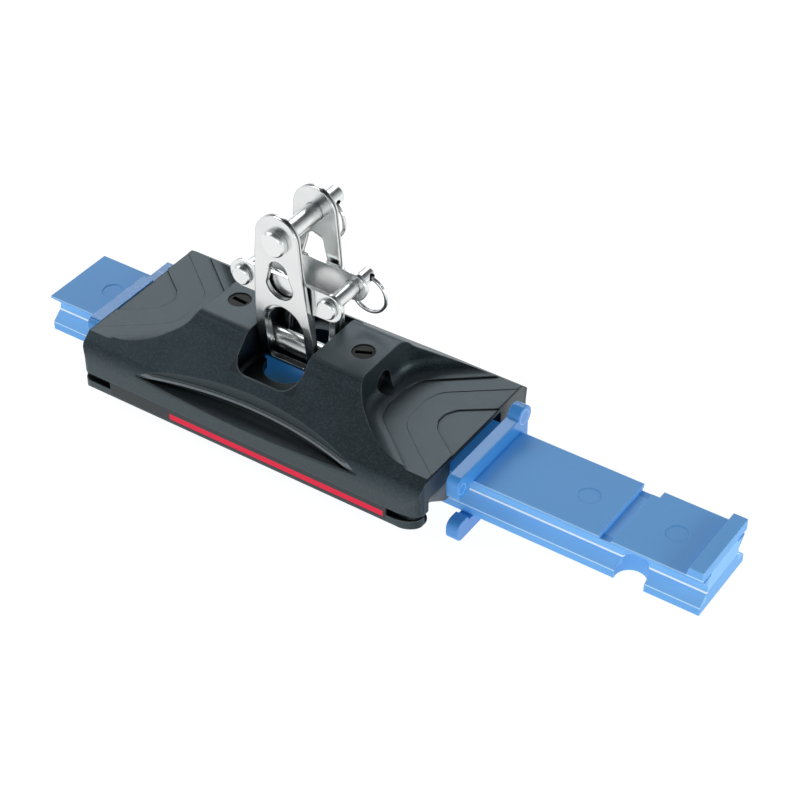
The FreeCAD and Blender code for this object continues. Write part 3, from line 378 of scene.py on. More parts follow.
def polished_steel(name, rough, tone, edge=0.4, brush=(1, 1, 1)):
    """Polished steel; brush stretches its fine scratches along an axis. Painted shade darkens it in
    its hollows.
    """
    material, tree, shader = new_material(name)
    wear = noise(tree, place_texture(tree, brush), 160.0, 4.0, 0.6)
    scratch = (brush[0], brush[1] * 3.0, brush[2] * 0.35)
    hair = noise(tree, place_texture(tree, scratch), 1800.0, 2.0, 0.5)
    base = blend_colours(tree, spread(tree, wear, 0.3, 0.7, 0.0, 1.0),
                         tinted(tone, 0.93, 0.955, 0.95), tinted(tone, 1.0, 1.02, 1.01))
    # Painted shade: darker in its hollows
    hollow = nearness(tree, 8.0, False, 0.10, 0.60)
    hollow_shaded = blend_colours(tree, hollow, base, tinted(tone, 0.22, 0.235, 0.24))
    tree.links.new(hollow_shaded, shader.inputs["Base Color"])
    shader.inputs["Metallic"].default_value = 1.0
    tree.links.new(spread(tree, wear, 0.3, 0.72, *rough), shader.inputs["Roughness"])
    bump(tree, shader, hair, 0.05, 0.03, soft_edges(tree, edge))
    return material


def plate_light_and_shade(material, middle, half):
    """Painted shade that fades the foot of a strap into the dark recess, a painted dark reflection
    as a line round the middle of each plate's edge, and painted highlights on the rims; half is half
    the line's width."""
    foot_shade = (0.012, 0.014, 0.016)
    edge_reflection_grey = (0.055, 0.062, 0.066)
    rim_highlight = (0.50, 0.52, 0.54)
    tree = material.node_tree
    place = coordinates(tree)
    facing = coordinates(tree, "Normal")
    foot_shade_share = spread(tree, place["Z"], (DATUM + 5.5) * MM, (CREST - 1.0) * MM, 0.93, 0.0)
    edgewise = arithmetic(tree, "LESS_THAN", absolute(tree, facing["Y"]), 0.6)
    reflection_band = between(tree, absolute(tree, place["Y"]), middle - half, middle + half)
    # Painted shade at the foot, a painted dark reflection along the plate edges, and painted
    # highlights on the rims
    paint(material, foot_shade_share, foot_shade)
    paint(material, product(tree, edgewise, reflection_band, 0.85), edge_reflection_grey)
    paint(material, product(tree, edge_share(tree, 0.4), 0.75), rim_highlight)


def printed_label(name, side):
    """Grey film with a plain red stripe along its lower part; side turns the back one round."""
    stripe_start = -28.5
    stripe_end = LABEL_HALF - 1.0
    material, tree, shader = new_material(name)
    place = coordinates(tree)
    ends = sorted((stripe_start * side, stripe_end * side))
    stripe = product(tree, between(tree, place["X"], *ends),
                     between(tree, place["Z"], STRIPE_LOW, STRIPE_TOP))
    mottle = noise(tree, place_texture(tree), 900.0, 3.0, 0.6)
    grey = blend_colours(tree, mottle, (0.022, 0.026, 0.030), (0.045, 0.051, 0.056))
    red = blend_colours(tree, mottle, (0.64, 0.003, 0.034), (0.76, 0.006, 0.048))
    tree.links.new(blend_colours(tree, stripe, grey, red), shader.inputs["Base Color"])
    tree.links.new(spread(tree, mottle, 0.3, 0.7, 0.40, 0.50), shader.inputs["Roughness"])
    shader.inputs["Specular IOR Level"].default_value = 0.22
    bump(tree, shader, mottle, 0.06, 0.03)
    return material


def end_faces(material):
    """Pale end faces of the body, with a black band along the top of each."""
    pale = (0.055, 0.058, 0.052)
    black = (0.001, 0.001, 0.001)
    band_low = DATUM + 2.7
    band_top = DATUM + 3.95
    tree = material.node_tree
    place = coordinates(tree)
    side = absolute(tree, place["Y"])
    end = arithmetic(tree, "GREATER_THAN", absolute(tree, place["X"]), (CAR_END - 0.25) * MM)
    for half, low, top, colour in ((27.5, SKIRT - 1, band_low, pale),
                                   (28.0, band_low, band_top, black)):
        area = product(tree, between(tree, side, 0.0, half), between(tree, place["Z"], low, top))
        paint(material, product(tree, end, area), colour)


def crescent_light_and_shade(material):
    """Painted highlight along the bead at the foot of each crescent's wall, and painted shade that
    blackens the hollow under it.
    """
    black = (0.0008, 0.001, 0.0012)
    bead_highlight = (0.150, 0.168, 0.180)
    taper = 3.5
    tree = material.node_tree
    place = coordinates(tree)
    square = product(tree, place["X"], place["X"])
    across = arithmetic(tree, "SUBTRACT", absolute(tree, place["Y"]),
                        (CRESCENT_RIM + CRESCENT_RADIUS) * MM)
    depth = arithmetic(tree, "SUBTRACT", CRESCENT_RADIUS * MM, length(tree, place["X"], across))
    inside = arithmetic(tree, "LESS_THAN", absolute(tree, place["X"]), (HOLLOW_REACH + 0.3) * MM)
    sag = product(tree, square, CRESCENT_SAG / CRESCENT_REACH ** 2 / MM)
    level = arithmetic(tree, "ADD", place["Z"],
                       arithmetic(tree, "SUBTRACT", sag, CRESCENT_LIFT * MM))
    narrowing = arithmetic(tree, "SUBTRACT", taper * MM,
                           product(tree, square, taper / HOLLOW_REACH ** 2 / MM))
    above = arithmetic(tree, "GREATER_THAN", arithmetic(tree, "ADD", level, narrowing),
                       (DATUM - 1.55) * MM)
    hollow = product(tree, inside, above, between(tree, depth, 0.0, 8.0),
                     between(tree, level, DATUM - 7.0, DATUM - 1.15),
                     spread(tree, depth, 0.4 * MM, 6.5 * MM, 0.96, 0.0))
    bead = product(tree, inside, between(tree, depth, 0.15, 1.5),
                   between(tree, level, DATUM - 0.75, DATUM + 0.6))
    # Painted shade in the hollow, then a painted highlight on the bead
    paint(material, hollow, black)
    paint(material, bead, bead_highlight)


def rail_painted_light(material):
    """Painted light on the rail: its waist and lower side painted paler, as if lit, and painted
    highlights along the edges of its sides.
    """
    # Painted light on the waist and lower side; painted highlights on the edges
    lit_waist = ((0.0, 9.9), (11.7, 18.0), (0.20, 0.47, 0.82))
    lit_flank = ((9.7, 13.3), (8.35, 11.3), (0.19, 0.45, 0.82))
    waist_foot_highlight = ((9.2, 10.1), (11.22, 11.66), (0.95, 0.98, 1.0))
    low_edge_highlight = ((13.2, 13.7), (8.12, 8.42), (0.55, 0.76, 0.97))
    top_edge_highlight = ((13.2, 13.7), (18.48, 19.0), (0.38, 0.62, 0.92))
    tree = material.node_tree
    place = coordinates(tree)
    side = absolute(tree, place["Y"])
    for widths, heights, colour in (lit_waist, lit_flank, waist_foot_highlight, low_edge_highlight, top_edge_highlight):
        share = product(tree, between(tree, side, *widths), between(tree, place["Z"], *heights))
        paint(material, share, colour)


def stop_marks(material):
    """Round marks left by the mould on the ends of each stop."""
    pale = (0.30, 0.55, 0.88)
    half = 0.13
    tree = material.node_tree
    place = coordinates(tree)
    for y, z, radius in ((-19.65, 20.3, 1.75), (14.7, 23.5, 2.4)):
        across = arithmetic(tree, "SUBTRACT", place["Y"], y * MM)
        rise = arithmetic(tree, "SUBTRACT", place["Z"], z * MM)
        line = between(tree, length(tree, across, rise), radius - half, radius + half)
        paint(material, product(tree, line, 0.75), pale)


blue_rail = moulded_plastic("rail_blue_plastic", (0.100, 0.325, 0.700), (0.130, 0.370, 0.760),
                            (0.40, 0.62, 0.88), (0.42, 0.54), glow=(0.0, 0.135, 0.460), shine=0.34)
blue_stop = moulded_plastic("stop_blue_plastic", (0.035, 0.215, 0.580), (0.055, 0.255, 0.640),
                            (0.40, 0.62, 0.90), (0.20, 0.30), glow=(0.0, 0.080, 0.340))
grey_guide = moulded_plastic("guide_grey_plastic", (0.120, 0.120, 0.105), (0.165, 0.162, 0.145),
                             (0.26, 0.26, 0.23), (0.35, 0.50))
ball_resin = moulded_plastic("ball_resin", (0.30, 0.21, 0.08), (0.40, 0.29, 0.12),
                             (0.45, 0.34, 0.16), (0.18, 0.26))
body_finish = anodised("body_anodised")
strap_finish = polished_steel("strap_polished", (0.14, 0.24), 0.76)
tang_finish = polished_steel("tang_polished", (0.16, 0.26), 0.80)
pin_finish = polished_steel("pin_polished", (0.20, 0.30), 0.80, edge=0.12)
ring_finish = polished_steel("ring_polished", (0.12, 0.22), 0.78, edge=0.15)
shaft_finish = polished_steel("shaft_ground", (0.14, 0.24), 0.72, brush=(0.2, 1, 1))
screw_finish = polished_steel("screw_dark", (0.42, 0.55), 0.030, edge=0.3)
label_front = printed_label("label_front_print", 1)
label_back = printed_label("label_back_print", -1)

plate_light_and_shade(strap_finish, STRAP_MIDDLE, 0.35)
plate_light_and_shade(tang_finish, TANG_MIDDLE, 0.30)
rail_painted_light(blue_rail)
stop_marks(blue_stop)
end_faces(body_finish)
crescent_light_and_shade(body_finish)

FINISHES = {
    "loading_rail": blue_rail, "stop_left": blue_stop, "stop_right": blue_stop,
    "side_label_front": label_front, "side_label_back": label_back,
    "return_guides_left": grey_guide, "return_guides_right": grey_guide,
    "pivot_shaft": shaft_finish, "set_screws": screw_finish,
    "toggle_strap": strap_finish, "tang_strap": tang_finish,
    "main_pin": pin_finish, "tang_pin_left": pin_finish, "tang_pin_right": pin_finish,
    "car_body": body_finish, "ball_row_front": ball_resin, "ball_row_back": ball_resin,
    "main_ring": ring_finish, "tang_ring_left": ring_finish, "tang_ring_right": ring_finish,
}
for name, material in FINISHES.items():
    data = nodes[name].data
    data.materials.clear()
    data.materials.append(material)


# Mesh helpers
def loft(name, rings, material):
    """Closed skin over rings of points, all with the same count."""
    count = len(rings[0])
    points = [Vector(point) * MM for ring in rings for point in ring]
    faces = []
    for level in range(len(rings) - 1):
        low = level * count
        for number in range(count):
            after = (number + 1) % count
            faces.append((low + number, low + after, low + count + after, low + count + number))
    faces.append(tuple(range(count))[::-1])
    faces.append(tuple(range(len(points) - count, len(points))))
    data = bpy.data.meshes.new(name)
    data.from_pydata(points, [], faces)
    data.validate()
    data.update()
    data.materials.append(material)
    solid = bmesh.new()
    solid.from_mesh(data)
    bmesh.ops.recalc_face_normals(solid, faces=solid.faces)
    solid.to_mesh(data)
    solid.free()
    return new_object(name, data)


def rounded(points, radii, step=8.0):
    """Closed outline with its corners turned into arcs; step is in degrees."""
    straight = math.radians(179.5)
    outline = []
    count = len(points)
    for number in range(count):
        here = Vector(points[number])
        before = Vector(points[number - 1]) - here
        after = Vector(points[(number + 1) % count]) - here
        radius = radii[number]
        angle = before.angle(after)
        if radius <= 0 or angle > straight:
            outline.append(here)
            continue
        reach = radius / math.tan(angle / 2)
        limit = 0.49 * min(before.length, after.length)
        if reach > limit:
            reach = limit
            radius = reach * math.tan(angle / 2)
        start = here + before.normalized() * reach
        end = here + after.normalized() * reach
        middle = here + (before.normalized() + after.normalized()).normalized() * (
            radius / math.sin(angle / 2))
        turn = math.pi - angle
        parts = max(2, int(math.degrees(turn) / step) + 1)
        first = start - middle
        last = end - middle
        for part in range(parts + 1):
            share = part / parts
            first_share = math.sin((1 - share) * turn) / math.sin(turn)
            last_share = math.sin(share * turn) / math.sin(turn)
            outline.append(middle + first * first_share + last * last_share)
    return outline


def prism(name, outline, low, high, material, axis="Z"):
    """Outline in the plane across axis, drawn out from low to high."""
    lift = {
        "X": lambda u, v, w: (w, u, v),
        "Y": lambda u, v, w: (u, w, v),
        "Z": lambda u, v, w: (u, v, w),
    }[axis]
    rings = [[lift(p[0], p[1], level) for p in outline] for level in (low, high)]
    return loft(name, rings, material)


def circle(u, v, radius, count=64):
    return [(u + radius * math.cos(2 * math.pi * k / count),
             v + radius * math.sin(2 * math.pi * k / count)) for k in range(count)]


def arc(u, v, radius, first, last, parts, upright=None):
    """Points of an arc between two angles in degrees; upright is an ellipse's other radius."""
    rise = radius if upright is None else upright
    turns = [math.radians(first + (last - first) * k / parts) for k in range(parts + 1)]
    return [(u + radius * math.cos(turn), v + rise * math.sin(turn)) for turn in turns]


def box_outline(u_low, u_high, v_low, v_high):
    return [(u_low, v_low), (u_high, v_low), (u_high, v_high), (u_low, v_high)]


def foot_round(rise, radius):
    """How far the round foot of a wall stands in from the wall, at a height over the floor."""
    return radius - math.sqrt(radius ** 2 - max(radius - rise, 0.0) ** 2)


def joined(pieces):
    first = pieces[0]
    solid = bmesh.new()
    for piece in pieces:
        solid.from_mesh(piece.data)
    solid.to_mesh(first.data)
    solid.free()
    for piece in pieces[1:]:
        bpy.data.objects.remove(piece)
    return first


def fixed(thing):
    """Applies every modifier of a piece to its mesh."""
    graph = bpy.context.evaluated_depsgraph_get()
    graph.update()
    data = bpy.data.meshes.new_from_object(thing.evaluated_get(graph))
    thing.modifiers.clear()
    old = thing.data
    thing.data = data
    bpy.data.meshes.remove(old)


def carve(thing, tool, operation="DIFFERENCE"):
    modifier = thing.modifiers.new("carve", "BOOLEAN")
    modifier.operation = operation
    modifier.solver = "EXACT"
    modifier.object = tool
    fixed(thing)
    bpy.data.objects.remove(tool)


def weld(thing):
    modifier = thing.modifiers.new("weld", "WELD")
    modifier.merge_threshold = 0.002 * MM


def soften(thing, width):
    """Rounds the sharp edges of a piece."""
    weld(thing)
    flat = thing.modifiers.new("flat", "DECIMATE")
    flat.decimate_type = "DISSOLVE"
    flat.angle_limit = math.radians(0.3)
    edges = thing.modifiers.new("edges", "BEVEL")
    edges.width = width * MM
    edges.segments = 3
    edges.limit_method = "ANGLE"
    edges.angle_limit = math.radians(38)
    edges.use_clamp_overlap = True
    edges.harden_normals = False
    weights = thing.modifiers.new("weights", "WEIGHTED_NORMAL")
    weights.keep_sharp = False


def smooth(thing, angle):
    thing.data.shade_smooth()
    thing.data.set_sharp_from_angle(angle=math.radians(angle))
    weights = thing.modifiers.new("weights", "WEIGHTED_NORMAL")
    weights.keep_sharp = True
    fixed(thing)


def shaped_copy(node):
    """New piece that starts from a CAD node's shape."""
    piece = new_object("shaped_" + node, nodes[node].data.copy())
    weld(piece)
    fixed(piece)
    return piece


# Car body
def car_section():
    """Section across the car, over the rail space; each corner has its rounding with it."""
    half = [
        ((LEG_HALF, SKIRT), 0.5), ((CAR_HALF, SKIRT), 0.9), ((CAR_HALF, SHOULDER), 8.5),
        ((14.3, NECK), 9.0), ((11.5, CREST), 4.6),
    ]
    ceiling_round = 0.6
    points = [point for point, radius in half]
    radii = [radius for point, radius in half]
    points += [(-u, v) for u, v in reversed(points)]
    radii += radii[::-1]
    points += [(-LEG_HALF, CEILING), (LEG_HALF, CEILING)]
    radii += [ceiling_round, ceiling_round]
    return rounded(points, radii, 5.0)


def make_plan():
    """Plan of the body: two opposite upright corners are tight, and the other two open out
    along the sides towards the bottom. A level is a rise from the datum and the corner's
    rounding along the car and across it."""
    levels = ((-17.0, 8.8, 3.7), (-10.0, 8.5, 3.6), (-7.0, 7.4, 3.3), (-4.0, 5.7, 2.9),
              (-1.0, 3.9, 2.3), (1.0, 2.7, 1.9), (3.0, 1.9, 1.6), (5.0, 1.6, 1.5), (18.0, 1.5, 1.5))
    tight = 3.0
    rings = []
    for rise, along, across in levels:
        ring = []
        for number, (side_x, side_y) in enumerate(((-1, -1), (1, -1), (1, 1), (-1, 1))):
            square = side_x == side_y
            long = min(along, tight) if square else along
            wide = min(across, tight) if square else across
            first = 180.0 + 90.0 * number
            corner = arc(side_x * (CAR_END - long), side_y * (CAR_HALF - wide), long,
                         first, first + 90.0, 14, upright=wide)
            ring += [(u, v, DATUM + rise) for u, v in corner]
        rings.append(ring)
    return loft("plan_tool", rings, body_finish)


def scoop_outline(share):
    """Plan outline of the scoop, from its rim, at share 0, to its floor, at share 1."""
    rim = ((0.0, 9.0), (1.12, 13.0), (3.82, 16.6), (36.0, 43.0))
    floor = ((5.2, 5.0), (6.32, 9.0), (8.72, 12.2), (36.0, 34.6))
    radii = [7.0, 9.0, 12.0, 0]
    half = [(a[0] + (b[0] - a[0]) * share, a[1] + (b[1] - a[1]) * share)
            for a, b in zip(rim, floor)]
    points = [(SCOOP_NOSE + u, v) for u, v in half]
    points += [(u, -v) for u, v in reversed(points)]
    return rounded(points, radii + radii[::-1], 4.0)


def make_scoop(side):
    """Steep wall that runs into the floor in a soft hollow."""
    hollow = 4.2
    batter = 1.0
    wall_height = 12.9
    height = 13.5
    levels = 24
    rings = []
    for number in range(levels + 1):
        rise = height * (number / levels) ** 1.7
        wall = batter * (1.0 - min(rise, wall_height) / wall_height)
        share = (wall + foot_round(rise, hollow)) / (hollow + batter)
        rings.append([(p[0] * side, p[1], SCOOP_FLOOR + rise) for p in scoop_outline(share)])
    return loft("scoop_tool", rings, body_finish)


# Each terrace of a scoop: nose past the scoop's, half width there, shoulder of the outline,
# flare from the shoulder on, depth under the scoop's floor, roundings, and whether it is soft
TERRACES = (
    (5.2, 4.8, (1.7, 10.6), 0.80, 0.55, [5.0, 9.0, 0], False),
    (12.0, 3.5, (2.0, 8.6), 0.78, 0.66, [5.0, 9.0, 0], True),
    (21.3, 1.8, (1.9, 5.4), 0.745, 1.05, [2.6, 5.0, 0], False),
)

# A terrace's wall: heights over its floor, and how far the outline stands out at each
CRISP_WALL = ((0.0, -0.55), (0.04, -0.30), (0.15, -0.12), (0.6, 0.0), (2.0, 0.1))
SOFT_WALL = ((0.0, -1.6), (0.06, -1.1), (0.2, -0.5), (0.4, 0.1), (0.6, 0.8), (2.0, 4.0))


def make_terrace(side, nose, front, shoulder, flare, depth, radii, soft):
    overrun = 2.6
    reach = CAR_END - SCOOP_NOSE - nose + overrun
    half = [(0.0, front), shoulder, (reach, shoulder[1] + flare * (reach - shoulder[0]))]
    points = [(SCOOP_NOSE + nose + u, v) for u, v in half]
    points += [(u, -v) for u, v in reversed(points)]
    rings = []
    for rise, out in SOFT_WALL if soft else CRISP_WALL:
        pulled = rounded([(u - out, v + math.copysign(out, v)) for u, v in points],
                         radii + radii[::-1], 4.0)
        rings.append([(p[0] * side, p[1], SCOOP_FLOOR - depth + rise) for p in pulled])
    return loft("terrace_tool", rings, body_finish)


def make_crescent(side):
    """Finger crescent: an upright wall, a thin bead at its foot, and a hollow under the bead,
    which gets shallow towards the crescent's tips."""
    bead_foot = DATUM - 1.3
    corners = [
        ((0.0, 13.0), 0), ((0.0, 0.1), 0.45), ((1.0, 0.0), 0.25), ((1.15, -0.95), 0.22),
        ((0.3, -1.3), 0.3), ((0.35, -2.5), 1.0), ((2.6, -3.7), 4.0), ((6.7, -4.5), 3.0),
        ((14.0, -4.8), 0), ((14.0, 13.0), 0),
    ]
    profile = rounded([(u, DATUM + rise) for (u, rise), radius in corners],
                      [radius for corner, radius in corners], 10.0)
    parts = 120
    opening = 44.0
    least = 0.08
    rings = []
    for number in range(parts + 1):
        turn = math.radians(opening * number / parts - opening / 2)
        x = CRESCENT_RADIUS * math.sin(turn)
        fall = CRESCENT_SAG * (x / CRESCENT_REACH) ** 2 - CRESCENT_LIFT
        share = max(least, 1.0 - (x / HOLLOW_REACH) ** 2)
        ring = []
        for depth, height in profile:
            reach = CRESCENT_RADIUS - depth
            below = max(bead_foot - height, 0.0)
            ring.append((reach * math.sin(turn),
                         side * (CRESCENT_RIM + CRESCENT_RADIUS - reach * math.cos(turn)),
                         height + below * (1.0 - share) - fall))
        rings.append(ring)
    return loft("crescent_tool", rings, body_finish)


def corner_tools(name, outline_of, low, high):
    """One cut at each of the car's corners; the square ones lie on one diagonal."""
    tools = []
    for side_x, side_y in CORNERS:
        outline = [(p[0] * side_x, p[1] * side_y) for p in outline_of(side_x == side_y)]
        tools.append(prism(name, outline, low, high, body_finish))
    return joined(tools)


def groove_outline(square):
    """Side groove, which runs out of the end at a square corner and goes round the others."""
    deep = 2.0
    start = LABEL_HALF - 0.5
    inner = CAR_HALF - deep
    far_x = CAR_END + 2 * PAST
    far_y = CAR_HALF + 2 * PAST
    if square:
        return [(start, inner), (far_x, inner), (far_x, far_y), (start, far_y)]
    points = [(start, inner), (CAR_END - deep, inner), (CAR_END - deep, RAIL_SPACE),
              (far_x, RAIL_SPACE), (far_x, far_y), (start, far_y)]
    return rounded(points, [0, 3.0, 0, 0, 0, 0])


def make_side_grooves():
    height = 2.9
    top = LABEL_TOP + LABEL_FIT
    return corner_tools("groove_tool", groove_outline, top - height, top)


def tab_outline(square):
    """What is cut from under the groove, so that each leg ends in a rounded tab at its outer
    side; away from the square corners the tab sweeps out to the car's side."""
    inner = 21.5
    start = 54.5
    far = CAR_END + 2 * PAST
    outline = [(far, RAIL_SPACE), (start, RAIL_SPACE), (start, inner)]
    if square:
        turn = 3.0
        outline += arc(CAR_END - turn, inner + turn, turn, -90, -5, 8)
        return outline + [(far, inner + turn)]
    turn = 3.2
    tip = 61.8
    sweep = 8.6
    outline += arc(tip - turn, inner + turn, turn, -90, 0, 8)
    outline += arc(tip - sweep, inner + 4.6, sweep, 0, 90, 16, upright=4.95)[1:]
    return outline + [(tip - sweep, CAR_HALF + 2 * PAST), (far, CAR_HALF + 2 * PAST)]


def make_tab_cuts():
    return corner_tools("tab_tool", tab_outline, SKIRT - PAST, DATUM - 11.9)


def make_seats():
    """Seats of the return guides, with a little room round each guide."""
    fit = 0.1
    guide_low, guide_high = corners_of("return_guides_right")
    tools = []
    for side_x, side_y in CORNERS:
        ends = sorted((side_x * (guide_low[0] - fit), side_x * (CAR_END + PAST)))
        across = sorted((side_y * RAIL_SPACE, side_y * (guide_high[1] + fit)))
        outline = box_outline(*across, guide_low[2] - fit, guide_high[2] + fit)
        tools.append(prism("seat_tool", outline, *ends, body_finish, "X"))
    return joined(tools)


def make_label_seats():
    deep = 0.8
    half = LABEL_HALF + LABEL_FIT
    outline = box_outline(-half, half, LABEL_LOW - LABEL_FIT, LABEL_TOP + LABEL_FIT)
    return joined([prism("label_tool", outline, low, high, body_finish, "Y")
                   for low, high in ((-CAR_HALF - 1, -CAR_HALF + deep),
                                     (CAR_HALF - deep, CAR_HALF + 1))])


def make_races():
    end = CAR_END - 8.5
    outlines = [circle(side * BALL_HALF, BALL_HEIGHT, BALL_RADIUS + BALL_FIT, 48) for side in SIDES]
    return joined([prism("race_tool", outline, -end, end, body_finish, "X") for outline in outlines])


def make_mouth():
    """Recess round the toggle, with a soft hollow at the foot of its wall."""
    corner = 5.6
    hollow = 1.8
    steps = 8
    height = 14.0
    rises = [hollow * (number / steps) ** 1.6 for number in range(steps + 1)] + [height]
    rings = []
    for rise in rises:
        foot = foot_round(rise, hollow)
        half = MOUTH_HALF - foot
        reach = MOUTH_REACH - foot
        outline = rounded(box_outline(-half, half, -reach, reach), [corner - foot * 0.6] * 4, 5.0)
        rings.append([(p[0], p[1], MOUTH_FLOOR + rise) for p in outline])
    return loft("mouth_tool", rings, body_finish)


def make_slot():
    """Opening for the strap's foot, with a narrower round nose in front and behind."""
    wide = 11.2
    bend = 1.6
    nose = 7.5
    step = 6.8
    reach = 14.8
    half = [(wide, -step + bend), (wide, step - bend)]
    half += arc(wide - bend, step - bend, bend, 10, 90, 6)
    half += arc(nose + bend, step + bend, bend, 270, 182, 6)
    half += arc(0.0, reach - nose, nose, 9, 90, 10)
    half += [(-u, v) for u, v in reversed(half[1:-1])]
    outline = half + [(-u, -v) for u, v in half[1:-1]]
    return prism("slot_tool", outline, DATUM + 0.9, DATUM + 8.0, body_finish)


def make_bore():
    end = SCOOP_NOSE + 2 * PAST
    return prism("bore_tool", circle(0, SHAFT_HEIGHT, SHAFT_HOLE), -end, end, body_finish, "X")


def make_screw_holes():
    outlines = [circle(side * SCREW_PLACE, 0.0, SCREW_HOLE) for side in SIDES]
    return joined([prism("screw_tool", outline, SHAFT_HEIGHT, CREST + PAST, body_finish)
                   for outline in outlines])


def make_car_body():
    section = car_section()
    rings = [[(x, p[0], p[1]) for p in section] for x in (-CAR_END, CAR_END)]
    body = loft("sculpted_body", rings, body_finish)
    carve(body, make_plan(), "INTERSECT")
    carve(body, joined([make_scoop(side) for side in SIDES]))
    for terrace in TERRACES:
        carve(body, joined([make_terrace(side, *terrace) for side in SIDES]))
    carve(body, joined([make_crescent(side) for side in SIDES]))
    for make_tool in (make_side_grooves, make_tab_cuts, make_seats, make_label_seats, make_races,
                      make_mouth, make_slot, make_bore, make_screw_holes):
        carve(body, make_tool())
    smooth(body, 24.0)
    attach(body, "car")
    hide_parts("car_body")


# Bearing balls
def make_balls(side, node):
    solid = bmesh.new()
    for number in range(BALL_COUNT):
        x = (number - (BALL_COUNT - 1) / 2) * BALL_PITCH
        spot = Matrix.Translation(Vector((x, side * BALL_HALF, BALL_HEIGHT)) * MM)
        bmesh.ops.create_icosphere(solid, subdivisions=3, radius=BALL_RADIUS * MM, matrix=spot)
    data = bpy.data.meshes.new("round_" + node)
    solid.to_mesh(data)
    solid.free()
    data.materials.append(ball_resin)
    data.shade_smooth()
    balls = new_object("round_" + node, data)
    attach(balls, "car")
    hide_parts(node)


# Split rings
def blunt(value):
    """Turns a circle's sine or cosine into that of a circle with flattened sides."""
    return math.copysign(abs(value) ** 0.7, value)


def make_ring(node, body, pin, leant, mean, wire):
    """Flattened wire wound a little over two turns, hung from its pin and leant by some degrees;
    mean is the radius of its coil and wire half the wire's size before it is flattened."""
    turns = 2.12
    parts = 150
    corners = 12
    first_turn = math.radians(-20.0)
    half_width = wire * 0.80
    half_height = wire * 0.46
    pitch = wire * 0.96
    # The wire steps over to its next turn this sharply, and thins towards its two ends
    crossing = 5.0
    end_share = 0.45
    end_parts = 5.0
    lean = math.radians(leant)
    hole = middle_of(pin)
    centre = Vector((hole[0] - mean * math.sin(lean), middle_of(node)[1],
                     hole[2] - mean * math.cos(lean)))
    rings = []
    for number in range(parts + 1):
        share = number / parts
        turn = first_turn + share * turns * 2 * math.pi
        lift = 0.5 * math.tanh((share - 0.5) * 2 * turns * crossing) * pitch
        out = Vector((math.cos(turn), 0, math.sin(turn)))
        taper = min(1.0, end_share + min(share, 1 - share) * parts / end_parts)
        ring = []
        for corner in range(corners):
            bow = 2 * math.pi * corner / corners
            along = blunt(math.cos(bow)) * half_width * taper
            across = blunt(math.sin(bow)) * half_height * taper
            ring.append(centre + out * (mean + along) + Vector((0, lift + across, 0)))
        rings.append(ring)
    ring = loft("coil_" + node, rings, ring_finish)
    smooth(ring, 50.0)
    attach(ring, body)
    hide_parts(node)


# Return guides, whose feet sweep up towards the car's side
def make_guides(side):
    node = "return_guides_right" if side > 0 else "return_guides_left"
    corners = [
        ((13.0, 4.0), 0), ((27.0, 4.0), 0), ((27.0, 15.4), 0), ((24.2, 14.6), 2.0),
        ((19.8, 11.6), 3.0), ((16.6, 9.4), 3.0), ((13.0, 8.9), 0),
    ]
    ends = sorted((side * 50.0, side * (CAR_END + PAST)))
    guides = shaped_copy(node)
    tools = []
    for side_y in SIDES:
        outline = rounded([(side_y * u, v) for (u, v), radius in corners],
                          [radius for corner, radius in corners])
        tools.append(prism("guide_tool", outline, *ends, grey_guide, "X"))
    carve(guides, joined(tools))
    soften(guides, 0.25)
    fixed(guides)
    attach(guides, "car")
    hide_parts(node)


# Left stop, whose back end lies level with the bar
def make_left_stop():
    bar_top = 22.45
    knob_start = 6.0
    low, high = corners_of("stop_left")
    outline = box_outline(knob_start, high[1] + PAST, bar_top, high[2] + PAST)
    stop = shaped_copy("stop_left")
    carve(stop, prism("knob_tool", outline, low[0] - PAST, high[0] + PAST, blue_stop, "X"))
    soften(stop, 0.30)
    fixed(stop)
    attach(stop, "stop_left")
    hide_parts("stop_left")


# Toggle strap, with its plates narrowed towards their heads
def make_toggle_strap():
    half = 10.75
    head = 7.6
    depth = 16.0
    low = DATUM - 1
    shoulder = SHAFT_HEIGHT + 8
    head_middle = middle_of("main_pin")[2] + 0.9
    outline = [(half, low), (half, shoulder)] + arc(0.0, head_middle, head, 0, 180, 40)
    outline += [(-half, shoulder), (-half, low)]
    strap = shaped_copy("toggle_strap")
    carve(strap, prism("plate_tool", outline, -depth, depth, strap_finish, "Y"), "INTERSECT")
    soften(strap, 0.38)
    fixed(strap)
    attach(strap, "toggle")
    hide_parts("toggle_strap")


for name, width in (("tang_strap", 0.25), ("main_pin", 0.14), ("tang_pin_left", 0.12),
                    ("tang_pin_right", 0.12), ("loading_rail", 0.18), ("stop_right", 0.30)):
    soften(nodes[name], width)
make_left_stop()
make_guides(-1)
make_guides(1)
make_toggle_strap()
make_car_body()
make_balls(-1, "ball_row_front")
make_balls(1, "ball_row_back")
make_ring("main_ring", "main_ring", "main_pin", 17.0, 7.4, 0.65)
make_ring("tang_ring_left", "tang_ring_left", "tang_pin_left", 0.0, 6.2, 0.6)
make_ring("tang_ring_right", "tang_ring_right", "tang_pin_right", -11.0, 6.2, 0.6)


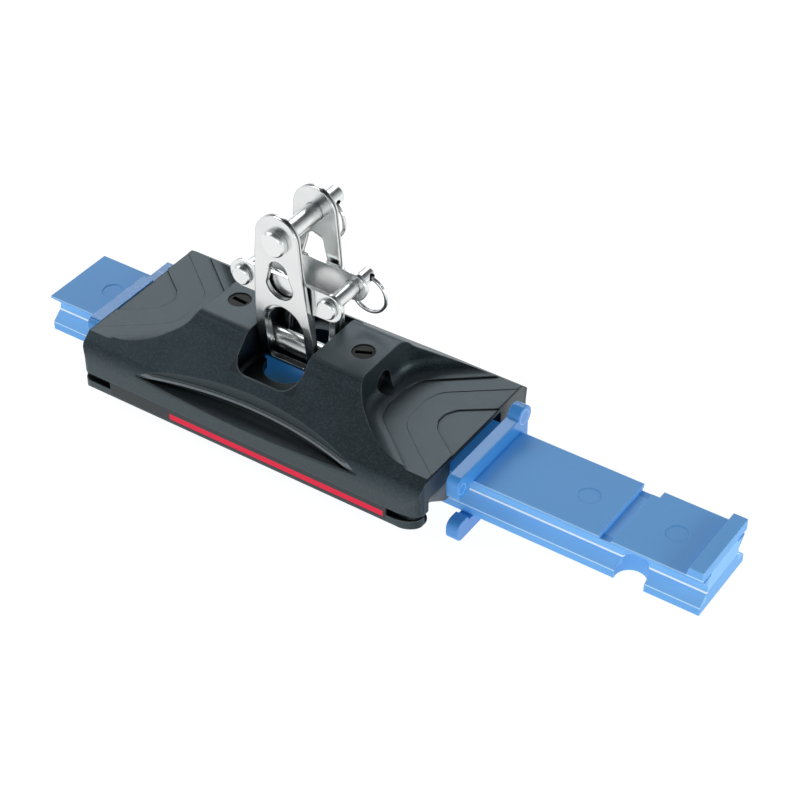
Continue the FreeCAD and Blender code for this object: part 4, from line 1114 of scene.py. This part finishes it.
# Floor, lights and surroundings
FLOOR_HALF = 30.0
FLOOR_DROP = 0.0002
floor_data = bpy.data.meshes.new("floor")
floor_corners = box_outline(-FLOOR_HALF, FLOOR_HALF, -FLOOR_HALF, FLOOR_HALF)
floor_data.from_pydata([(x, y, 0) for x, y in floor_corners], [], [(0, 1, 2, 3)])
floor = new_object("floor", floor_data)
floor.location.z = -FLOOR_DROP
floor_material, floor_tree, floor_shader = new_material("white_floor")
floor_tint = blend_colours(floor_tree, noise(floor_tree, place_texture(floor_tree), 3.0, 2.0),
                           (0.20, 0.20, 0.20), (0.22, 0.22, 0.22))
floor_tree.links.new(floor_tint, floor_shader.inputs["Base Color"])
floor_shader.inputs["Roughness"].default_value = 0.8
floor_shader.inputs["Emission Color"].default_value = (1, 1, 1, 1)
floor_shader.inputs["Emission Strength"].default_value = 0.93
floor_data.materials.append(floor_material)


def area_light(name, place, aim, size, power, tint=(1, 1, 1)):
    data = bpy.data.lights.new(name, "AREA")
    data.shape = "RECTANGLE"
    data.size, data.size_y = size
    data.energy = power
    data.color = tint
    light = new_object(name, data)
    light.location = place
    light.rotation_mode = "QUATERNION"
    light.rotation_quaternion = (Vector(aim) - Vector(place)).to_track_quat("-Z", "Y")


CAR_FOOT = (0.02, 0, 0.02)
RIGHT_FOOT = (0.06, 0, 0.02)
WARM = (1.0, 0.97, 0.92)
area_light("back", (-0.75, 0.95, 1.05), CAR_FOOT, (1.3, 0.5), 7.5)
area_light("left", (-1.15, -0.55, 1.0), CAR_FOOT, (0.6, 0.8), 4.5)
area_light("front", (0.25, -1.4, 0.5), CAR_FOOT, (0.8, 0.25), 5.5)
area_light("right", (1.35, 0.25, 0.40), RIGHT_FOOT, (0.5, 0.35), 6.5, WARM)

world = bpy.data.worlds.new("studio")
bpy.context.scene.world = world
world.use_nodes = True
sky = world.node_tree
background = sky.nodes["Background"]
rise = spread(sky, coordinates(sky, "Generated")["Z"], 0.18, 0.72, 0.0, 1.0)
sky.links.new(blend_colours(sky, rise, (0.88, 0.91, 0.95), (0.05, 0.055, 0.06)),
              background.inputs["Color"])
background.inputs["Strength"].default_value = 0.85

bpy.context.scene.view_settings.view_transform = "Standard"
bpy.context.scene.view_settings.look = "None"
